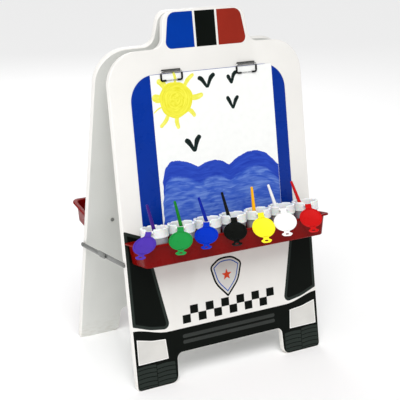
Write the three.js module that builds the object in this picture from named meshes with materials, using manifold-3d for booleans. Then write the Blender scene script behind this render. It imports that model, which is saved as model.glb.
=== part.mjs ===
// Folding double-sided kids easel, in millimetres, +Z up, standing open on its four feet.
// Two identical boards hang from a pair of butt hinges at the top. A folding brace on each
// side holds them apart. Each board carries a dry-wipe panel, two wire paper clips and a
// tray. The front tray holds seven paint cups with hinged lids and brushes.
import * as THREE from 'three';
import { mergeVertices } from 'three/addons/utils/BufferGeometryUtils.js';
import Module from 'manifold-3d';

const wasm = await Module();
wasm.setup();

// Driving dimensions
const BOARD_WIDTH = 610;
const BOARD_LENGTH = 1021;
const BOARD_THICKNESS = 19;
const LEAN = THREE.MathUtils.degToRad(10.47);
const TOP_GAP = 6;
const GAP = 0.3;
const RUNNING_GAP = 0.4;
const MERGE_GRAIN = 1e-4;

// Heights along a board, measured up the slope from its foot
const SHOULDER_HEIGHT = 925;
const ARCH_HEIGHT = 82;
const HINGE_HEIGHT = BOARD_LENGTH - 12;
const PANEL_TOP = 858;
const PAPER_TOP = 857;
const SHEET_BOTTOM = 423;
const TRAY_FLOOR = 357;
const TRAY_TOP = 419;
const BOLT_HEIGHT = 402;
const FRONT_BRACE_HEIGHT = 357;
const REAR_BRACE_HEIGHT = 329;

// Widths across a board, measured from its centre line
const HALF_BOARD = BOARD_WIDTH / 2;
const LIGHT_BAR_BASE = 137.5;
const LIGHT_BAR_TOP = 127;
const LEG_INNER = 177;
const HINGE_OFFSET = 70;
const BOLT_OFFSET = 225;
const CLIP_OFFSET = 119;

// Sheets fixed to a board
const PANEL_HALF = 245;
const PANEL_THICKNESS = 1;
const PAPER_WIDTH = 387;
const PAPER_SHIFT = 10;
const PAPER_THICKNESS = 0.5;

// Tray
const TRAY_WALL = 2.5;
const TRAY_DEPTH_BOTTOM = 90;
const TRAY_DEPTH_TOP = 97;
const TRAY_HALF_BOTTOM = 286;
const TRAY_HALF_TOP = 293;
const RIM_WIDTH = 10;
const RIM_DROP = 5;

// Paint cups, lids and brushes
const CUP_PITCH = 81.2;
const CUP_ROW_SHIFT = 6.5;
const CUP_OUT = 55;
const CUP_HEIGHT = 99;
const CUP_WALL = 2.5;
const BASE_RADIUS = 28.5;
const BODY_RADIUS = 35.5;
const COLLAR_RADIUS = 38;
const COLLAR_HEIGHT = 26;
const MOUTH_RADIUS = 31;
const LIP_HEIGHT = 94;
const LID_RADIUS = 32;
const LID_THICKNESS = 2;
const LID_PIVOT_HEIGHT = 91.5;
const LID_PIVOT_OUT = 41.2;
const STRAP_WIDTH = 17;
const STRAP_LENGTH = 13;
const BRUSH_LENGTH = 165;

// Colours
const BOARD_WHITE = 0xeeece6;
const WINDSCREEN_BLUE = 0x0a3a9a;
const PAPER_WHITE = 0xf6f6f4;
const TRAY_RED = 0x8c1210;
const ZINC = 0x8b8e88;
const CLIP_STEEL = 0x3a3a38;
const CUP_MILK = 0xe9ecea;

// One entry per paint cup, from left to right as seen from the front: its colour, how far it
// is turned to the left, and where its brush stands on the cup's floor and passes its mouth.
// The first lid hangs past the tray's corner, so its slope is its own.
const CUPS = [
  { colour: 'purple', hex: 0x4a2fc0, turn: 48, foot: [18, 4], rim: [7, 22], slope: 54 },
  { colour: 'green', hex: 0x1e9a48, turn: 31, foot: [14, 2], rim: [0, 23] },
  { colour: 'blue', hex: 0x0038d0, turn: 33, foot: [18, 2], rim: [-2, 23] },
  { colour: 'black', hex: 0x101410, turn: 27, foot: [6, 4], rim: [-13, 19] },
  { colour: 'yellow', hex: 0xf8f020, turn: 20, foot: [-7, 2], rim: [-13, 19] },
  { colour: 'white', hex: 0xf4f4f2, turn: 27, foot: [8, 2], rim: [-18, 15] },
  { colour: 'red', hex: 0xd01414, turn: 23, foot: [12, 2], rim: [-19, 13] },
];

const sin = Math.sin(LEAN);
const cos = Math.cos(LEAN);
// From the middle plane to the foot of each board's face
const FOOT_REACH = BOARD_LENGTH * sin + BOARD_THICKNESS * cos + TOP_GAP / 2;
// The hinge pin lies in the middle plane, behind each board's face by this much
const PIN_BACK = (HINGE_HEIGHT * sin - FOOT_REACH) / cos;
const BOARD_BACK = -BOARD_THICKNESS;
const BRACE_BACK = -BOARD_THICKNESS / 2;

// ---------------------------------------------------------------- solid helpers

function toSolid(geometry) {
  const bare = geometry.clone();
  bare.deleteAttribute('normal');
  bare.deleteAttribute('uv');
  // Points that belong together are first rounded to the same place
  const places = bare.attributes.position.array;
  places.forEach((value, index) => {
    places[index] = Math.round(value / MERGE_GRAIN) * MERGE_GRAIN;
  });
  const merged = mergeVertices(bare, MERGE_GRAIN);
  return new wasm.Manifold(new wasm.Mesh({
    numProp: 3,
    vertProperties: new Float32Array(merged.attributes.position.array),
    triVerts: new Uint32Array(merged.index.array),
  }));
}

function toGeometry(body) {
  const mesh = body.getMesh();
  const geometry = new THREE.BufferGeometry();
  geometry.setAttribute('position', new THREE.BufferAttribute(mesh.vertProperties, 3));
  geometry.setIndex(new THREE.BufferAttribute(mesh.triVerts, 1));
  geometry.computeVertexNormals();
  return geometry;
}

function join(...geometries) {
  const [first, ...others] = geometries.map(toSolid);
  return toGeometry(others.reduce((body, other) => body.add(other), first));
}

function cut(geometry, ...tools) {
  const body = toSolid(geometry);
  return toGeometry(tools.map(toSolid).reduce((rest, tool) => rest.subtract(tool), body));
}

function block(x0, x1, y0, y1, z0, z1) {
  const geometry = new THREE.BoxGeometry(x1 - x0, y1 - y0, z1 - z0);
  return geometry.translate((x0 + x1) / 2, (y0 + y1) / 2, (z0 + z1) / 2);
}

function rodX(radius, x0, x1, y = 0, z = 0, sides = 12) {
  const geometry = new THREE.CylinderGeometry(radius, radius, Math.abs(x1 - x0), sides);
  return geometry.rotateZ(Math.PI / 2).translate((x0 + x1) / 2, y, z);
}

function rodZ(radius, z0, z1, x = 0, y = 0, sides = 12) {
  const geometry = new THREE.CylinderGeometry(radius, radius, z1 - z0, sides);
  return geometry.rotateX(Math.PI / 2).translate(x, y, (z0 + z1) / 2);
}

// A closed outline whose corners [x, y, radius] run anticlockwise, each rounded by an arc
function roundedOutline(corners) {
  const shape = new THREE.Shape();
  const count = corners.length;
  corners.forEach(([x, y, radius], index) => {
    const [px, py] = corners[(index + count - 1) % count];
    const [nx, ny] = corners[(index + 1) % count];
    const corner = new THREE.Vector2(x, y);
    const back = new THREE.Vector2(px - x, py - y).normalize();
    const ahead = new THREE.Vector2(nx - x, ny - y).normalize();
    const half = Math.acos(THREE.MathUtils.clamp(back.dot(ahead), -1, 1)) / 2;
    const reach = radius / Math.tan(half);
    const start = corner.clone().addScaledVector(back, reach);
    const end = corner.clone().addScaledVector(ahead, reach);
    const middle = back.clone().add(ahead).normalize();
    const centre = corner.clone().addScaledVector(middle, radius / Math.sin(half));
    const turn = back.cross(ahead);
    if (index === 0) {
      shape.moveTo(start.x, start.y);
    } else {
      shape.lineTo(start.x, start.y);
    }
    const from = start.sub(centre).angle();
    const to = end.sub(centre).angle();
    shape.absarc(centre.x, centre.y, radius, from, to, turn > 0);
  });
  return shape;
}

function plate(shape, z0, z1, curveSegments = 5) {
  const geometry = new THREE.ExtrudeGeometry(shape, {
    depth: z1 - z0, bevelEnabled: false, curveSegments,
  });
  return geometry.translate(0, 0, z0);
}

// A closed body through rings of equally many points, capped at both ends
function loft(rings) {
  const count = rings[0].length;
  const points = rings.flat();
  const triangles = [];
  for (let ring = 0; ring + 1 < rings.length; ring += 1) {
    for (let side = 0; side < count; side += 1) {
      const a = ring * count + side;
      const b = ring * count + ((side + 1) % count);
      triangles.push(a, b, b + count, a, b + count, a + count);
    }
  }
  const last = (rings.length - 1) * count;
  for (let side = 1; side + 1 < count; side += 1) {
    triangles.push(0, side + 1, side);
    triangles.push(last, last + side, last + side + 1);
  }
  const geometry = new THREE.BufferGeometry().setFromPoints(points);
  geometry.setIndex(triangles);
  geometry.computeVertexNormals();
  return geometry;
}

function part(parent, name, geometry, color, roughness, metalness = 0) {
  const material = new THREE.MeshStandardMaterial({ color, roughness, metalness });
  const mesh = new THREE.Mesh(geometry, material);
  mesh.name = name;
  parent.add(mesh);
  return mesh;
}

function frameIn(parent, x = 0, y = 0, z = 0) {
  const frame = new THREE.Group();
  frame.position.set(x, y, z);
  parent.add(frame);
  return frame;
}

// ---------------------------------------------------------------- boards

function boardOutline() {
  const rightSide = [
    [HALF_BOARD, 0, 12],
    [HALF_BOARD, SHOULDER_HEIGHT - 3, 90],
    [LIGHT_BAR_BASE, SHOULDER_HEIGHT, 32],
    [LIGHT_BAR_TOP, BOARD_LENGTH, 30],
  ];
  const legs = [
    [-LEG_INNER, 0, 22],
    [-LEG_INNER + 4, ARCH_HEIGHT, 16],
    [LEG_INNER - 4, ARCH_HEIGHT, 16],
    [LEG_INNER, 0, 22],
  ];
  const leftSide = rightSide.map(([x, y, radius]) => [-x, y, radius]).reverse();
  return roundedOutline([...rightSide, ...leftSide, ...legs]);
}

function boardSolid(braceHeight) {
  const slab = plate(boardOutline(), BOARD_BACK, 0, 6);
  // The feet are cut level with the floor
  const floor = block(-400, 400, -100, 0, -100, 100).rotateX(LEAN);
  const bolts = [-1, 1].map((side) => (
    rodZ(3.4, BOARD_BACK - 1, 1, side * BOLT_OFFSET, BOLT_HEIGHT)));
  const pilots = [-1, 1].map((side) => (
    rodX(2.4, side * (HALF_BOARD - 24), side * (HALF_BOARD + 1), braceHeight, BRACE_BACK)));
  return cut(slab, floor, ...bolts, ...pilots);
}

function addBoard(board, side, braceHeight) {
  part(board, `${side}_board`, boardSolid(braceHeight), BOARD_WHITE, 0.45);
}

function addWindscreen(board, side) {
  const outline = roundedOutline([
    [PANEL_HALF, SHEET_BOTTOM, 4],
    [PANEL_HALF, PANEL_TOP, 72],
    [-PANEL_HALF, PANEL_TOP, 72],
    [-PANEL_HALF, SHEET_BOTTOM, 4],
  ]);
  const sheet = plate(outline, GAP, GAP + PANEL_THICKNESS);
  part(board, `${side}_wipe_panel`, sheet, WINDSCREEN_BLUE, 0.35);
}

function addPaper(board) {
  const back = PANEL_THICKNESS + 2 * GAP;
  const left = PAPER_SHIFT - PAPER_WIDTH / 2;
  const sheet = block(left, left + PAPER_WIDTH, SHEET_BOTTOM, PAPER_TOP, back, back + PAPER_THICKNESS);
  part(board, 'paper_sheet', sheet, PAPER_WHITE, 0.9);
}

// ---------------------------------------------------------------- paper clips

const CLIP_PLATE_BOTTOM = PAPER_TOP + 4;
const CLIP_PLATE_TOP = CLIP_PLATE_BOTTOM + 8;
const CLIP_BACK = PANEL_THICKNESS + 2 * GAP;
const BARREL_RADIUS = 2.9;
const BARREL_HALF = 26;
const BARREL_HEIGHT = PAPER_TOP + 7;
const BARREL_OUT = CLIP_BACK + BARREL_RADIUS + 0.4;
const WIRE_RADIUS = 1.3;
const WIRE_HALF = 32;
const WIRE_DROP = 25;

function clipBaseSolid() {
  const outline = roundedOutline([
    [29, CLIP_PLATE_BOTTOM, 3],
    [29, CLIP_PLATE_TOP, 3],
    [-29, CLIP_PLATE_TOP, 3],
    [-29, CLIP_PLATE_BOTTOM, 3],
  ]);
  const base = plate(outline, GAP, CLIP_BACK + 1.6, 3);
  const barrel = rodX(BARREL_RADIUS, -BARREL_HALF, BARREL_HALF, BARREL_HEIGHT, BARREL_OUT);
  const bore = rodX(WIRE_RADIUS + RUNNING_GAP, -BARREL_HALF - 1, BARREL_HALF + 1,
    BARREL_HEIGHT, BARREL_OUT);
  return cut(join(base, barrel), bore);
}

// The wire's two ends turn inwards and meet the barrel; it hangs down in the -Y direction
function clipWireSolid() {
  const bend = 5;
  const route = new THREE.CurvePath();
  const corner = (x0, y0, cx, cy, x1, y1) => {
    route.add(new THREE.QuadraticBezierCurve3(
      new THREE.Vector3(x0, y0, 0), new THREE.Vector3(cx, cy, 0), new THREE.Vector3(x1, y1, 0)));
  };
  const run = (x0, y0, x1, y1) => {
    route.add(new THREE.LineCurve3(new THREE.Vector3(x0, y0, 0), new THREE.Vector3(x1, y1, 0)));
  };
  run(-BARREL_HALF + 8, 0, -WIRE_HALF + bend, 0);
  corner(-WIRE_HALF + bend, 0, -WIRE_HALF, 0, -WIRE_HALF, -bend);
  run(-WIRE_HALF, -bend, -WIRE_HALF, -WIRE_DROP + bend);
  corner(-WIRE_HALF, -WIRE_DROP + bend, -WIRE_HALF, -WIRE_DROP, -WIRE_HALF + bend, -WIRE_DROP);
  run(-WIRE_HALF + bend, -WIRE_DROP, WIRE_HALF - bend, -WIRE_DROP);
  corner(WIRE_HALF - bend, -WIRE_DROP, WIRE_HALF, -WIRE_DROP, WIRE_HALF, -WIRE_DROP + bend);
  run(WIRE_HALF, -WIRE_DROP + bend, WIRE_HALF, -bend);
  corner(WIRE_HALF, -bend, WIRE_HALF, 0, WIRE_HALF - bend, 0);
  run(WIRE_HALF - bend, 0, BARREL_HALF - 8, 0);
  const section = new THREE.Shape().absarc(0, 0, WIRE_RADIUS, 0, 2 * Math.PI);
  return new THREE.ExtrudeGeometry(section, {
    extrudePath: route, steps: 30, curveSegments: 3, bevelEnabled: false,
  });
}

function addPaperClips(board, side) {
  const paperFront = CLIP_BACK + PAPER_THICKNESS;
  const press = Math.asin((BARREL_OUT - paperFront - GAP - WIRE_RADIUS) / WIRE_DROP);
  for (const [hand, place] of [['left', -CLIP_OFFSET], ['right', CLIP_OFFSET]]) {
    const clip = frameIn(board, place);
    part(clip, `${side}_${hand}_clip_base`, clipBaseSolid(), CLIP_STEEL, 0.3, 1);
    const pivot = frameIn(clip, 0, BARREL_HEIGHT, BARREL_OUT);
    pivot.rotation.x = press;
    part(pivot, `${side}_${hand}_clip_wire`, clipWireSolid(), CLIP_STEEL, 0.25, 1);
  }
}

// ---------------------------------------------------------------- butt hinges

const LEAF_HALF = 30;
const LEAF_THICKNESS = 2;
const LEAF_LENGTH = 34;
const KNUCKLE_RADIUS = 4;
const PIN_RADIUS = 1.6;
const KNUCKLE_COUNT = 5;
const KNUCKLE_PITCH = 2 * LEAF_HALF / KNUCKLE_COUNT;

// A leaf lies on the back of its board and owns every second knuckle, from the given one
function hingeLeafSolid(firstKnuckle) {
  const face = BOARD_BACK - GAP;
  const outline = roundedOutline([
    [LEAF_HALF, HINGE_HEIGHT - LEAF_LENGTH, 4],
    [LEAF_HALF, HINGE_HEIGHT - KNUCKLE_RADIUS - 1, 0.5],
    [-LEAF_HALF, HINGE_HEIGHT - KNUCKLE_RADIUS - 1, 0.5],
    [-LEAF_HALF, HINGE_HEIGHT - LEAF_LENGTH, 4],
  ]);
  const pieces = [plate(outline, face - LEAF_THICKNESS, face, 3)];
  for (let index = firstKnuckle; index < KNUCKLE_COUNT; index += 2) {
    const x0 = -LEAF_HALF + index * KNUCKLE_PITCH + GAP / 2;
    const x1 = x0 + KNUCKLE_PITCH - GAP;
    pieces.push(rodX(KNUCKLE_RADIUS, x0, x1, HINGE_HEIGHT, PIN_BACK));
    pieces.push(block(x0, x1, HINGE_HEIGHT - KNUCKLE_RADIUS - 2, HINGE_HEIGHT,
      face - LEAF_THICKNESS, face - LEAF_THICKNESS / 2));
  }
  const bore = rodX(PIN_RADIUS + RUNNING_GAP, -LEAF_HALF - 1, LEAF_HALF + 1, HINGE_HEIGHT, PIN_BACK);
  return cut(join(...pieces), bore);
}

function hingePinSolid() {
  const end = LEAF_HALF + GAP;
  const shank = rodX(PIN_RADIUS, -end - 0.5, end + 0.5);
  const heads = [-1, 1].map((side) => rodX(PIN_RADIUS + 1.2, side * end, side * (end + 1.5)));
  return join(shank, ...heads);
}

function addHinges(frontBoard, rearBoard) {
  for (const [hand, place] of [['left', -HINGE_OFFSET], ['right', HINGE_OFFSET]]) {
    const front = frameIn(frontBoard, place);
    // The rear board is turned to face the other way, so its left is the easel's right
    const rear = frameIn(rearBoard, -place);
    part(front, `${hand}_hinge_front_leaf`, hingeLeafSolid(0), ZINC, 0.35, 1);
    part(rear, `${hand}_hinge_rear_leaf`, hingeLeafSolid(1), ZINC, 0.35, 1);
    const pin = frameIn(front, 0, HINGE_HEIGHT, PIN_BACK);
    part(pin, `${hand}_hinge_pin`, hingePinSolid(), ZINC, 0.3, 1);
  }
}

// ---------------------------------------------------------------- folding braces

const LINK_THICKNESS = 2.5;
const LINK_HALF_WIDTH = 6.5;
const FRONT_LINK_OUT = HALF_BOARD + 1.2;
const REAR_LINK_OUT = FRONT_LINK_OUT + LINK_THICKNESS + 0.5;
const LOCK_PLATE_LENGTH = 34;
const LOCK_PLATE_HALF_WIDTH = 8.5;
const PIVOT_RADIUS = 2;
const PIVOT_HEAD = 5.5;
const HEAD_THICKNESS = 2.2;
// The front link's share of the brace, so that the knee folds up between the closed boards
const KNEE_SHARE = 0.448;

// Where a brace pivot sits in the easel's middle frame
function bracePoint(height, facing) {
  const y = facing * (FOOT_REACH - height * sin + BRACE_BACK * cos);
  return new THREE.Vector3(0, y, height * cos + BRACE_BACK * sin);
}

// A flat bar from the origin along +Y, drilled at both ends, whose inner face is at X = out
// on the given side of the easel. A wider end at the knee is its lock plate.
function linkSolid(length, side, out, kneeHalfWidth) {
  const bar = new THREE.Shape();
  bar.absarc(0, 0, LINK_HALF_WIDTH, Math.PI, 2 * Math.PI);
  if (kneeHalfWidth > LINK_HALF_WIDTH) {
    bar.lineTo(LINK_HALF_WIDTH, length - LOCK_PLATE_LENGTH);
    bar.lineTo(kneeHalfWidth, length - LOCK_PLATE_LENGTH + 3);
  }
  bar.absarc(0, length, kneeHalfWidth, 0, Math.PI);
  if (kneeHalfWidth > LINK_HALF_WIDTH) {
    bar.lineTo(-kneeHalfWidth, length - LOCK_PLATE_LENGTH + 3);
    bar.lineTo(-LINK_HALF_WIDTH, length - LOCK_PLATE_LENGTH);
  }
  const flat = plate(bar, 0, LINK_THICKNESS, 6).rotateY(side * Math.PI / 2).translate(side * out, 0, 0);
  const bores = [0, length].map((y) => (
    rodX(PIVOT_RADIUS + RUNNING_GAP, side * (out - 1), side * (out + LINK_THICKNESS + 1), y)));
  return cut(flat, ...bores);
}

function pivotScrewSolid(side, link) {
  const shank = rodX(PIVOT_RADIUS, side * (HALF_BOARD - 22), side * (link + LINK_THICKNESS + 1));
  const spacer = rodX(PIVOT_RADIUS + 2.5, side * (HALF_BOARD + GAP), side * (link - GAP));
  const headIn = link + LINK_THICKNESS + GAP;
  const head = rodX(PIVOT_HEAD, side * headIn, side * (headIn + HEAD_THICKNESS));
  return join(shank, spacer, head);
}

// The knee rivet is fast in the rear link and stops short of the front link
function kneeRivetSolid(side) {
  const start = REAR_LINK_OUT + 0.2;
  const headIn = REAR_LINK_OUT + LINK_THICKNESS + GAP;
  const shank = rodX(PIVOT_RADIUS, side * start, side * (headIn + 1));
  const head = rodX(PIVOT_HEAD, side * headIn, side * (headIn + HEAD_THICKNESS));
  return join(shank, head);
}

function aimAlong(frame, from, to) {
  // Turn the frame about X until its +Y axis points from one place to the other
  frame.rotation.x = Math.atan2(to.z - from.z, to.y - from.y);
}

function addBrace(easel, hand, side) {
  const front = bracePoint(FRONT_BRACE_HEIGHT, -1);
  const rear = bracePoint(REAR_BRACE_HEIGHT, 1);
  const knee = front.clone().lerp(rear, KNEE_SHARE);
  const frontPivot = frameIn(easel, front.x, front.y, front.z);
  aimAlong(frontPivot, front, knee);
  const frontLink = linkSolid(front.distanceTo(knee), side, FRONT_LINK_OUT, LINK_HALF_WIDTH);
  part(frontPivot, `${hand}_brace_front_link`, frontLink, ZINC, 0.4, 1);
  part(frontPivot, `${hand}_brace_front_screw`, pivotScrewSolid(side, FRONT_LINK_OUT), ZINC, 0.35, 1);
  const rearPivot = frameIn(easel, rear.x, rear.y, rear.z);
  aimAlong(rearPivot, rear, knee);
  const rearLink = linkSolid(rear.distanceTo(knee), side, REAR_LINK_OUT, LOCK_PLATE_HALF_WIDTH);
  part(rearPivot, `${hand}_brace_rear_link`, rearLink, ZINC, 0.4, 1);
  part(rearPivot, `${hand}_brace_rear_screw`, pivotScrewSolid(side, REAR_LINK_OUT), ZINC, 0.35, 1);
  const kneeFrame = frameIn(rearPivot, 0, rear.distanceTo(knee), 0);
  part(kneeFrame, `${hand}_brace_knee_rivet`, kneeRivetSolid(side), ZINC, 0.35, 1);
}

// ---------------------------------------------------------------- trays

const CORNER_STEPS = 4;

// A ring round the tray at one height: half its length, its back and front, its corner radii
function trayRing(height, half, back, front, radius, backRadius = radius) {
  const ring = [];
  const corner = (x, z, size, from) => {
    for (let step = 0; step <= CORNER_STEPS; step += 1) {
      const angle = from + (Math.PI / 2) * (step / CORNER_STEPS);
      ring.push(new THREE.Vector3(x + size * Math.cos(angle), height, z - size * Math.sin(angle)));
    }
  };
  corner(half - backRadius, back + backRadius, backRadius, 0);
  corner(-half + backRadius, back + backRadius, backRadius, Math.PI / 2);
  corner(-half + radius, front - radius, radius, Math.PI);
  corner(half - radius, front - radius, radius, 1.5 * Math.PI);
  return ring;
}

function traySolid() {
  const inner = GAP + TRAY_WALL;
  const rimHalf = TRAY_HALF_TOP + RIM_WIDTH;
  const rimFront = TRAY_DEPTH_TOP + RIM_WIDTH;
  const floor = TRAY_FLOOR + TRAY_WALL;
  const body = loft([
    trayRing(TRAY_FLOOR, TRAY_HALF_BOTTOM - 3, GAP, TRAY_DEPTH_BOTTOM - 3, 15, 2),
    trayRing(TRAY_FLOOR + 3, TRAY_HALF_BOTTOM, GAP, TRAY_DEPTH_BOTTOM, 16, 2),
    trayRing(TRAY_TOP, TRAY_HALF_TOP, GAP, TRAY_DEPTH_TOP, 18, 2),
  ]);
  const rim = loft([TRAY_TOP - RIM_DROP, TRAY_TOP].map((height) => (
    trayRing(height, rimHalf, GAP, rimFront, 22, 2))));
  // The rim is folded down at its edge, and open underneath
  const groove = loft([TRAY_TOP - RIM_DROP - 1, TRAY_TOP - TRAY_WALL].map((height) => (
    trayRing(height, rimHalf - TRAY_WALL, -5, rimFront - TRAY_WALL, 20, 2))));
  const cavity = loft([
    trayRing(floor, TRAY_HALF_BOTTOM - TRAY_WALL - 3, inner, TRAY_DEPTH_BOTTOM - TRAY_WALL - 3, 12, 3),
    trayRing(floor + 3, TRAY_HALF_BOTTOM - TRAY_WALL, inner, TRAY_DEPTH_BOTTOM - TRAY_WALL, 14, 4),
    trayRing(TRAY_TOP + 1, TRAY_HALF_TOP - TRAY_WALL, inner, TRAY_DEPTH_TOP - TRAY_WALL, 16, 4),
  ]);
  const holes = [-1, 1].map((hand) => (
    rodZ(3.4, -1, TRAY_WALL + 1, hand * BOLT_OFFSET, BOLT_HEIGHT)));
  return cut(join(body, cut(rim, groove)), cavity, ...holes);
}

function addTray(board, side) {
  part(board, `${side}_tray`, traySolid(), TRAY_RED, 0.3);
  for (const [hand, place] of [['left', -BOLT_OFFSET], ['right', BOLT_OFFSET]]) {
    const bolt = frameIn(board, place, BOLT_HEIGHT);
    const headOut = TRAY_WALL + 2 * GAP;
    const shank = rodZ(3, BOARD_BACK - 3, headOut + 1);
    const head = rodZ(6, headOut, headOut + 3, 0, 0, 16);
    part(bolt, `${side}_${hand}_tray_bolt`, join(shank, head), ZINC, 0.35, 1);
    const nut = rodZ(5.5, BOARD_BACK - GAP - 4.4, BOARD_BACK - GAP, 0, 0, 16);
    const bore = rodZ(3 + GAP, BOARD_BACK - 3 - GAP, BOARD_BACK);
    part(bolt, `${side}_${hand}_tray_nut`, cut(nut, bore), ZINC, 0.35, 1);
  }
}

// ---------------------------------------------------------------- paint cups

const CUP_SIDES = 20;
const LUG_INNER = STRAP_WIDTH / 2 + RUNNING_GAP;
const LUG_OUTER = LUG_INNER + 3.5;
const CUP_FLOOR = TRAY_FLOOR + TRAY_WALL + GAP;
const KNUCKLE = 2.6;
const TRUNNION = 1.2;

function lathe(profile, sides) {
  return new THREE.LatheGeometry(profile.map(([x, y]) => new THREE.Vector2(x, y)), sides);
}

function cupSolid() {
  const collarBottom = CUP_HEIGHT - COLLAR_HEIGHT;
  const shell = lathe([
    [0, 0],
    [BASE_RADIUS, 0],
    [BODY_RADIUS, collarBottom],
    [COLLAR_RADIUS, collarBottom],
    [COLLAR_RADIUS, CUP_HEIGHT - 3],
    [COLLAR_RADIUS - 1.5, CUP_HEIGHT],
    [MOUTH_RADIUS, CUP_HEIGHT],
    [MOUTH_RADIUS, collarBottom + 4],
    [BASE_RADIUS - CUP_WALL, CUP_WALL],
    [0, CUP_WALL],
  ], CUP_SIDES);
  const lugs = [-1, 1].map((side) => {
    const x = [side * LUG_INNER, side * LUG_OUTER].sort((a, b) => a - b);
    return block(x[0], x[1], LID_PIVOT_HEIGHT - 3, LIP_HEIGHT + 2, COLLAR_RADIUS - 3,
      LID_PIVOT_OUT + 3.2);
  });
  const notch = block(-LUG_INNER - 1, LUG_INNER + 1, LIP_HEIGHT, CUP_HEIGHT + 1, 20, 50);
  const bore = rodX(TRUNNION + GAP, -LUG_OUTER - 1, LUG_OUTER + 1, LID_PIVOT_HEIGHT,
    LID_PIVOT_OUT, 8);
  return cut(join(shell, ...lugs), notch, bore);
}

// A lid lies along +Z from its pivot, with its sealing ring on the +Y side
function lidSolid() {
  const discOut = STRAP_LENGTH + LID_RADIUS;
  const disc = lathe([
    [0, 0],
    [LID_RADIUS, 0],
    [LID_RADIUS, LID_THICKNESS],
    [LID_RADIUS - 3, LID_THICKNESS],
    [LID_RADIUS - 3, LID_THICKNESS + 1.6],
    [LID_RADIUS - 5, LID_THICKNESS + 1.6],
    [LID_RADIUS - 5, LID_THICKNESS],
    [0, LID_THICKNESS],
  ], CUP_SIDES).translate(0, 0, discOut);
  const strap = block(-STRAP_WIDTH / 2, STRAP_WIDTH / 2, 0, LID_THICKNESS, 0, STRAP_LENGTH + 4);
  const neckHalf = 8.5;
  const tabTop = discOut + LID_RADIUS;
  // The thumb tab is a crescent on a short neck, with a slot through it
  const tab = new THREE.Shape();
  tab.moveTo(-neckHalf, tabTop - 5);
  tab.lineTo(-neckHalf + 1, tabTop + 5);
  tab.lineTo(-15.5, tabTop + 9);
  tab.quadraticCurveTo(0, tabTop + 23, 15.5, tabTop + 9);
  tab.lineTo(neckHalf - 1, tabTop + 5);
  tab.lineTo(neckHalf, tabTop - 5);
  const slot = new THREE.Path().absellipse(0, tabTop + 9.5, 5, 2.6, 0, 2 * Math.PI);
  tab.holes.push(slot);
  const tongue = plate(tab, -LID_THICKNESS, 0, 4).rotateX(Math.PI / 2);
  const knuckle = rodX(KNUCKLE, -STRAP_WIDTH / 2, STRAP_WIDTH / 2, 0, 0, 8);
  const trunnions = rodX(TRUNNION, -LUG_OUTER, LUG_OUTER, 0, 0, 8);
  return join(disc, strap, tongue, knuckle, trunnions);
}

// Bristles at the origin, then the ferrule and a fat handle that tapers to a round end
function brushSolid() {
  return lathe([
    [0, 0],
    [3.2, 12],
    [3.4, 34],
    [5.6, 80],
    [4.6, 125],
    [3.4, BRUSH_LENGTH - 3],
    [0, BRUSH_LENGTH],
  ], 10);
}

// A lid swings out and down until its nearer side rests on the tray's rim. The slope is
// measured from the cup's axis.
function restingSlope(turn) {
  const rim = TRAY_DEPTH_TOP + RIM_WIDTH + 2 * GAP;
  const reach = (rim - CUP_OUT + LID_RADIUS * Math.sin(turn)) / Math.cos(turn);
  return Math.atan2(reach - LID_PIVOT_OUT, CUP_FLOOR + LID_PIVOT_HEIGHT - TRAY_TOP);
}

function addPaintCup(board, cup, index) {
  const place = CUP_ROW_SHIFT + (index - (CUPS.length - 1) / 2) * CUP_PITCH;
  const stand = frameIn(board, place, CUP_FLOOR, CUP_OUT);
  const turn = THREE.MathUtils.degToRad(cup.turn);
  stand.rotation.y = -turn;
  part(stand, `${cup.colour}_paint_cup`, cupSolid(), CUP_MILK, 0.4);
  const pivot = frameIn(stand, 0, LID_PIVOT_HEIGHT, LID_PIVOT_OUT);
  const slope = cup.slope ? THREE.MathUtils.degToRad(cup.slope) : restingSlope(turn);
  pivot.rotation.x = Math.PI / 2 - slope;
  part(pivot, `${cup.colour}_cup_lid`, lidSolid(), cup.hex, 0.3);
  const foot = new THREE.Vector3(cup.foot[0], CUP_WALL + 2.5, cup.foot[1]);
  const rim = new THREE.Vector3(cup.rim[0], CUP_HEIGHT, cup.rim[1]);
  const brush = frameIn(stand, foot.x, foot.y, foot.z);
  const upward = rim.sub(foot).normalize();
  brush.quaternion.setFromUnitVectors(new THREE.Vector3(0, 1, 0), upward);
  part(brush, `${cup.colour}_brush`, brushSolid(), cup.hex, 0.3);
}

// ---------------------------------------------------------------- assembly

// A board's frame: X across it, Y up its slope, Z out of its face
function addBoardFrame(easel, turn) {
  const facing = frameIn(easel);
  facing.rotation.z = turn;
  const board = frameIn(facing, 0, -FOOT_REACH, 0);
  board.rotation.x = Math.PI / 2 - LEAN;
  return board;
}

function buildEasel() {
  const easel = new THREE.Group();
  const frontBoard = addBoardFrame(easel, 0);
  const rearBoard = addBoardFrame(easel, Math.PI);
  addBoard(frontBoard, 'front', FRONT_BRACE_HEIGHT);
  addBoard(rearBoard, 'rear', REAR_BRACE_HEIGHT);
  addHinges(frontBoard, rearBoard);
  addBrace(easel, 'left', -1);
  addBrace(easel, 'right', 1);
  for (const [side, board] of [['front', frontBoard], ['rear', rearBoard]]) {
    addWindscreen(board, side);
    addPaperClips(board, side);
    addTray(board, side);
  }
  addPaper(frontBoard);
  CUPS.forEach((cup, index) => addPaintCup(frontBoard, cup, index));
  return easel;
}

// The origin is at floor level under the middle of the easel's outer box
function centreOnFloor(easel) {
  easel.updateMatrixWorld(true);
  const bounds = new THREE.Box3().setFromObject(easel, true);
  const middle = bounds.getCenter(new THREE.Vector3());
  const origin = new THREE.Group();
  easel.position.set(-middle.x, -middle.y, -bounds.min.z);
  origin.add(easel);
  return origin;
}

export default centreOnFloor(buildEasel());
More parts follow.
